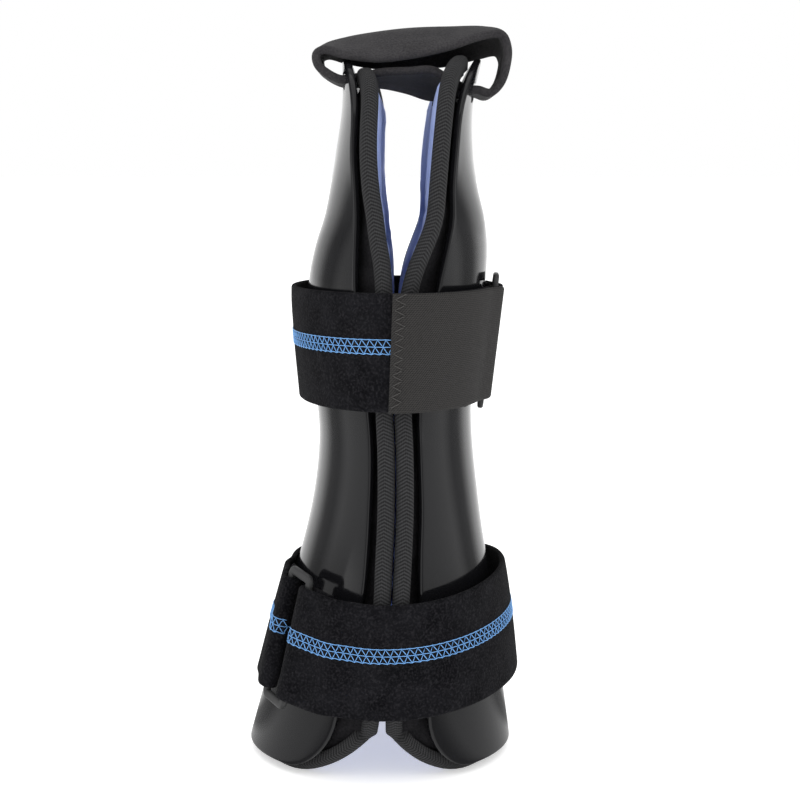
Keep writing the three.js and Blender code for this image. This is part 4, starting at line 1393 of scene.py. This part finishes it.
# %% Cover stitch
STITCH_PITCH = 2.6
STITCH_HALF = 2.4
STITCH_HIDDEN = STRAP_WIDTH * 0.4
UPPER_STITCH_RISE, LOWER_STITCH_RISE = 1.0, 1.5
THREAD_RADIUS = 0.14
THREAD_SIDES = 6
# Corners of each thread line in one stitch: share of the pitch, and share of the seam's half height.
STITCH_LINES = (
    ((0.0, 1.0), (0.5, 0.96)),
    ((0.75, 0.0), (1.25, 0.02)),
    ((0.4, -1.0), (0.62, -0.84)),
    ((0.0, 1.0), (0.75, 0.0)),
    ((0.4, -1.0), (0.75, 0.0)),
)


def sheet_sample(grid, normal, places, along, across_mm, lift):
    """Points on the outside of a band at lengths along it and distances from its middle line."""
    middle = grid.shape[1] // 2
    line = np.stack([np.interp(along, places, grid[:, middle, k]) for k in range(3)], -1)
    face = np.stack([np.interp(along, places, normal[:, middle, k]) for k in range(3)], -1)
    edge = grid[:, -8] - grid[:, 8]
    edge = edge / np.linalg.norm(edge, axis=1, keepdims=True)
    up = np.stack([np.interp(along, places, edge[:, k]) for k in range(3)], -1)
    return line + up * across_mm[:, None] + face * np.asarray(lift)[:, None]


# %% [markdown]
# Blender's curves could be tubes too, but the export needs plain meshes with lengths stored at the corners.
# All the threads of a seam are joined in one mesh.


# %% Threads as tubes
def thread_tubes(name, lines, radius, sides):
    """All the given lines as tubes in one mesh."""
    points, quads, uvs, triangles, start = [], [], [], [], 0
    turns = 2 * np.pi * np.arange(sides) / sides
    for line in lines:
        tangent = np.gradient(line, axis=0)
        tangent /= np.linalg.norm(tangent, axis=1, keepdims=True)
        guide = np.array([0.31, 0.17, 0.93])
        first = np.cross(tangent, guide)
        first /= np.linalg.norm(first, axis=1, keepdims=True)
        second = np.cross(tangent, first)
        ring = first[:, None] * np.cos(turns)[None, :, None] + second[:, None] * np.sin(turns)[None, :, None]
        points.append((line[:, None] + radius * ring).reshape(-1, 3))
        corners = grid_quads(len(line), sides, False, True)
        quads.append(start + corners[..., 0] * sides + corners[..., 1] % sides)
        lengths = run_lengths(line)
        uvs.append(np.stack([lengths[corners[..., 0]], corners[..., 1] * 1.0], -1))
        points.append(line[[0, -1]])
        j = np.arange(sides)
        tip = start + len(line) * sides
        last = start + (len(line) - 1) * sides
        triangles.append(np.stack([np.full(sides, tip), start + (j + 1) % sides, start + j], -1))
        triangles.append(np.stack([np.full(sides, tip + 1), last + j, last + (j + 1) % sides], -1))
        start += len(line) * sides + 2
    joined = [np.concatenate(part) for part in (points, quads, uvs, triangles)]
    return mesh_object(name, *joined)


# %% [markdown]
# The corners of the five thread lines repeat at every stitch. Between them the thread rises a little where it
# is free and sinks where the needle went in. The ends run under the straps' folds.


# %% Cover stitches of the two straps
def stitch_lines(grid, normal, places, first, last, rise):
    lines = []
    count = int((last - first) / STITCH_PITCH)
    for corners in STITCH_LINES:
        shares = np.array([(k + u, v) for k in range(count) for u, v in corners])
        along = first + shares[:, 0] * STITCH_PITCH
        fine = np.linspace(along[0], along[-1], len(along) * 3 - 2)
        across = rise + np.interp(fine, along, shares[:, 1] * STITCH_HALF)
        nearest = abs(((fine - first) / STITCH_PITCH) % 1 - 0.5)
        lift = STRAP_THICKNESS / 2 + THREAD_RADIUS * (0.55 + 0.5 * np.cos(nearest * np.pi))
        lines.append(sheet_sample(grid, normal, places, fine, across, lift))
    return lines


def outward_normal(grid, normal):
    """The normals of a band, turned to point out of the brace."""
    row = len(grid) // 2
    return normal * np.sign((normal[row, 8] * grid[row, 8] * [1, 1, 0]).sum())


def make_stitch(name, grid, normal, places, rise):
    normal = outward_normal(grid, normal)
    lines = stitch_lines(grid, normal, places, STITCH_HIDDEN, places[-1] - STITCH_HIDDEN, rise)
    piece = thread_tubes(name, lines, THREAD_RADIUS, THREAD_SIDES)
    return finish_piece(piece, THREAD)


make_stitch("upper_strap_stitch", upper_grid, upper_normal, upper_places, UPPER_STITCH_RISE)
make_stitch("lower_strap_stitch", lower_grid, lower_normal, lower_places, LOWER_STITCH_RISE)

# %% [markdown]
# The hook tab's free end is oversewn with a dark zigzag. One line that swings back and forth across the end
# is enough, lifted where it crosses and sunk where the needle went in.

# %% Zigzag seam near the free end of the hook tab
ZIGZAG_PITCH = 3.4
ZIGZAG_START, ZIGZAG_WIDTH = 0.9, 3.2
ZIGZAG_RADIUS, ZIGZAG_STEPS, ZIGZAG_MARGIN = 0.17, 6, 1


def make_tab_seam():
    reach = STRAP_WIDTH / 2 - ZIGZAG_MARGIN
    count = int(2 * reach / ZIGZAG_PITCH * 2)
    corners = np.linspace(-reach, reach, count + 1)
    across = np.linspace(corners[0], corners[-1], count * ZIGZAG_STEPS + 1)
    swing = np.interp(across, corners, np.arange(count + 1) % 2)
    back = ZIGZAG_START + swing * ZIGZAG_WIDTH
    lift = TAB_HALF + ZIGZAG_RADIUS * (0.2 + 0.6 * np.sin(np.pi * swing))
    normal = outward_normal(tab_grid, tab_normal)
    line = sheet_sample(tab_grid, normal, tab_places, tab_places[-1] - back, across, lift)
    piece = thread_tubes("upper_hook_tab_seam", [line], ZIGZAG_RADIUS, THREAD_SIDES)
    return finish_piece(piece, DARK_THREAD)


make_tab_seam()


# %% [markdown]
# The rings are plain rounded rectangles of matte plastic. A small rounded section is swept round them, and
# each is laid in the frame that the strap's folds were made in, leaned as a rigid thing.

# %% Rings
RING_EDGE = 0.8


def rounded_rectangle(wide, long, corner, steps):
    points = []
    for quarter, (sx, sy) in enumerate(((1, 1), (-1, 1), (-1, -1), (1, -1))):
        turns = np.radians(90 * quarter) + np.linspace(0, np.pi / 2, steps)
        x = sx * (wide / 2 - corner) + corner * np.cos(turns)
        y = sy * (long / 2 - corner) + corner * np.sin(turns)
        points.append(np.stack([x, y], -1))
    return np.concatenate(points)


def make_ring(strap, label):
    corner = RING_CORNER - RING_BAR / 2
    line = rounded_rectangle(RING_WIDTH - RING_BAR, RING_LENGTH - RING_BAR, corner, 9)
    ahead = np.roll(line, -1, axis=0) - np.roll(line, 1, axis=0)
    out = np.stack([ahead[:, 1], -ahead[:, 0]], -1)
    out /= np.linalg.norm(out, axis=1, keepdims=True)
    section = rounded_rectangle(RING_BAR, RING_THICKNESS, RING_EDGE, 5)
    flat = line[:, None] + out[:, None] * section[None, :, :1]
    up = np.broadcast_to(section[None, :, 1:], flat.shape[:2] + (1,))
    grid = np.concatenate([flat, up], -1)
    lengths = (run_lengths(line, wrap=True), run_lengths(section, wrap=True))
    piece = swept_object(label, grid, lengths)
    middle, wide, long, _ = ring_frame(strap)

    def leaned(vector):
        tilted = Vector(vector)
        tilted.x += LEAN * tilted.z
        return tilted

    upright, sideways = leaned(long).normalized(), leaned(wide)
    facing = sideways.cross(upright).normalized()
    turn = Matrix((upright.cross(facing), upright, facing)).transposed().to_4x4()
    piece.data.transform(Matrix.Translation(leaned(middle) * MM) @ turn)
    return finish_piece(piece, MATTE, label, lean=False)


make_ring(UPPER_STRAP, "upper_ring")
make_ring(LOWER_STRAP, "lower_ring")

# %% [markdown]
# The heel strap is a closed band of brushed cloth. Its run is drawn once, seen from the front, as a smooth
# closed curve through a few named places, and the top layer's front and back edges hang a little.

# %% Run of the heel strap: shares of the half width at the slots, of the loop's height, the arch and the tilt
HEEL_STRAP_RUN = (
    (-1.0, 0.165, 0, 0),
    (-0.84, 0.17, 0, 0.05),
    (-0.6, 0.195, 0, 0.2),
    (-0.36, 0.21, 0, 0.38),
    (0.0, 0.175, 0, 0.65),
    (0.36, 0.12, 0, 1.0),
    (0.62, 0.05, 0, 0.5),
    (0.88, 0.0, 0, 0.04),
    (1.05, -0.01, 0, 0),
    (1.22, -0.055, 0, 0),
    (1.37, 0.1, 0, 0),
    (1.45, 0.4, 0, 0.1),
    (1.45, 0.66, 0.1, 0.3),
    (1.35, 0.9, 0.25, 0.5),
    (1.08, 0.985, 0.52, 0.6),
    (0.6, 1.0, 0.88, 0.45),
    (0.0, 0.985, 1.05, 0.2),
    (-0.5, 0.925, 0.97, 0.05),
    (-0.95, 0.835, 0.62, 0),
    (-1.24, 0.73, 0.2, 0),
    (-1.37, 0.57, 0, 0),
    (-1.34, 0.4, 0, 0),
    (-1.2, 0.265, 0, 0),
)


def closed_curve(points, steps):
    """A closed centripetal curve through the points."""
    count = len(points)
    share = np.arange(steps) * count / steps
    i = share.astype(int)
    w = (share - i)[:, None]
    before, start, stop, after = (points[(i + k) % count] for k in (-1, 0, 1, 2))

    def gap(a, b):
        return np.sqrt(np.linalg.norm(a - b, axis=1, keepdims=True))

    g0, g1, g2 = gap(before, start), gap(start, stop), gap(stop, after)
    t1 = ((start - before) / g0 - (stop - before) / (g0 + g1) + (stop - start) / g1) * g1
    t2 = ((stop - start) / g1 - (after - start) / (g1 + g2) + (after - stop) / g2) * g1
    c2 = -3 * start + 3 * stop - 2 * t1 - t2
    c3 = 2 * start - 2 * stop + t1 + t2
    return start + t1 * w + c2 * w**2 + c3 * w**3


# %% [markdown]
# The curve gives the middle line of the band. Its width runs from front to back, and its edges fall by the
# arch, more towards the edges, and by the tilt, up on one side and down on the other.

# %% Heel strap
HEEL_STRAP_STEPS, HEEL_STRAP_COLUMNS = 200, 22


def make_heel_strap():
    foot = SLOT_HEIGHTS[1]
    across, up, arch, tilt = np.array(HEEL_STRAP_RUN, float).T
    x, z = across * float(section_at(foot)[0]), up * HEEL_STRAP_LOOP
    curve = closed_curve(np.stack([x, arch, z], -1), HEEL_STRAP_STEPS)
    tilts = closed_curve(np.stack([x, tilt, z], -1), HEEL_STRAP_STEPS)[:, 1:2]
    share, columns = band_columns(HEEL_STRAP_WIDTH, HEEL_STRAP_COLUMNS)
    place = 2 * share[None]
    fall = np.maximum(curve[:, 1:2], 0) * HEEL_STRAP_ARCH * place**2 + tilts * HEEL_STRAP_TILT * place
    x = np.broadcast_to(curve[:, :1], fall.shape)
    y = np.broadcast_to(place * HEEL_STRAP_WIDTH / 2, fall.shape)
    grid = np.stack([x, y, foot + curve[:, 2:] - fall], -1)
    normal = grid_normals(grid, wrap=True)
    half = HEEL_STRAP_THICKNESS / 2
    sides = np.minimum(columns, HEEL_STRAP_WIDTH - columns)[None]
    thick = np.broadcast_to(rounded_half(half, half * 0.95, sides), fall.shape)[..., None]
    lengths = (run_lengths(grid[:, grid.shape[1] // 2], wrap=True), columns)
    piece = slab_object("heel_strap", grid + normal * thick, grid - normal * thick, lengths, wrap=True)
    return finish_piece(piece, HEEL_CLOTH, "heel_strap")


make_heel_strap()
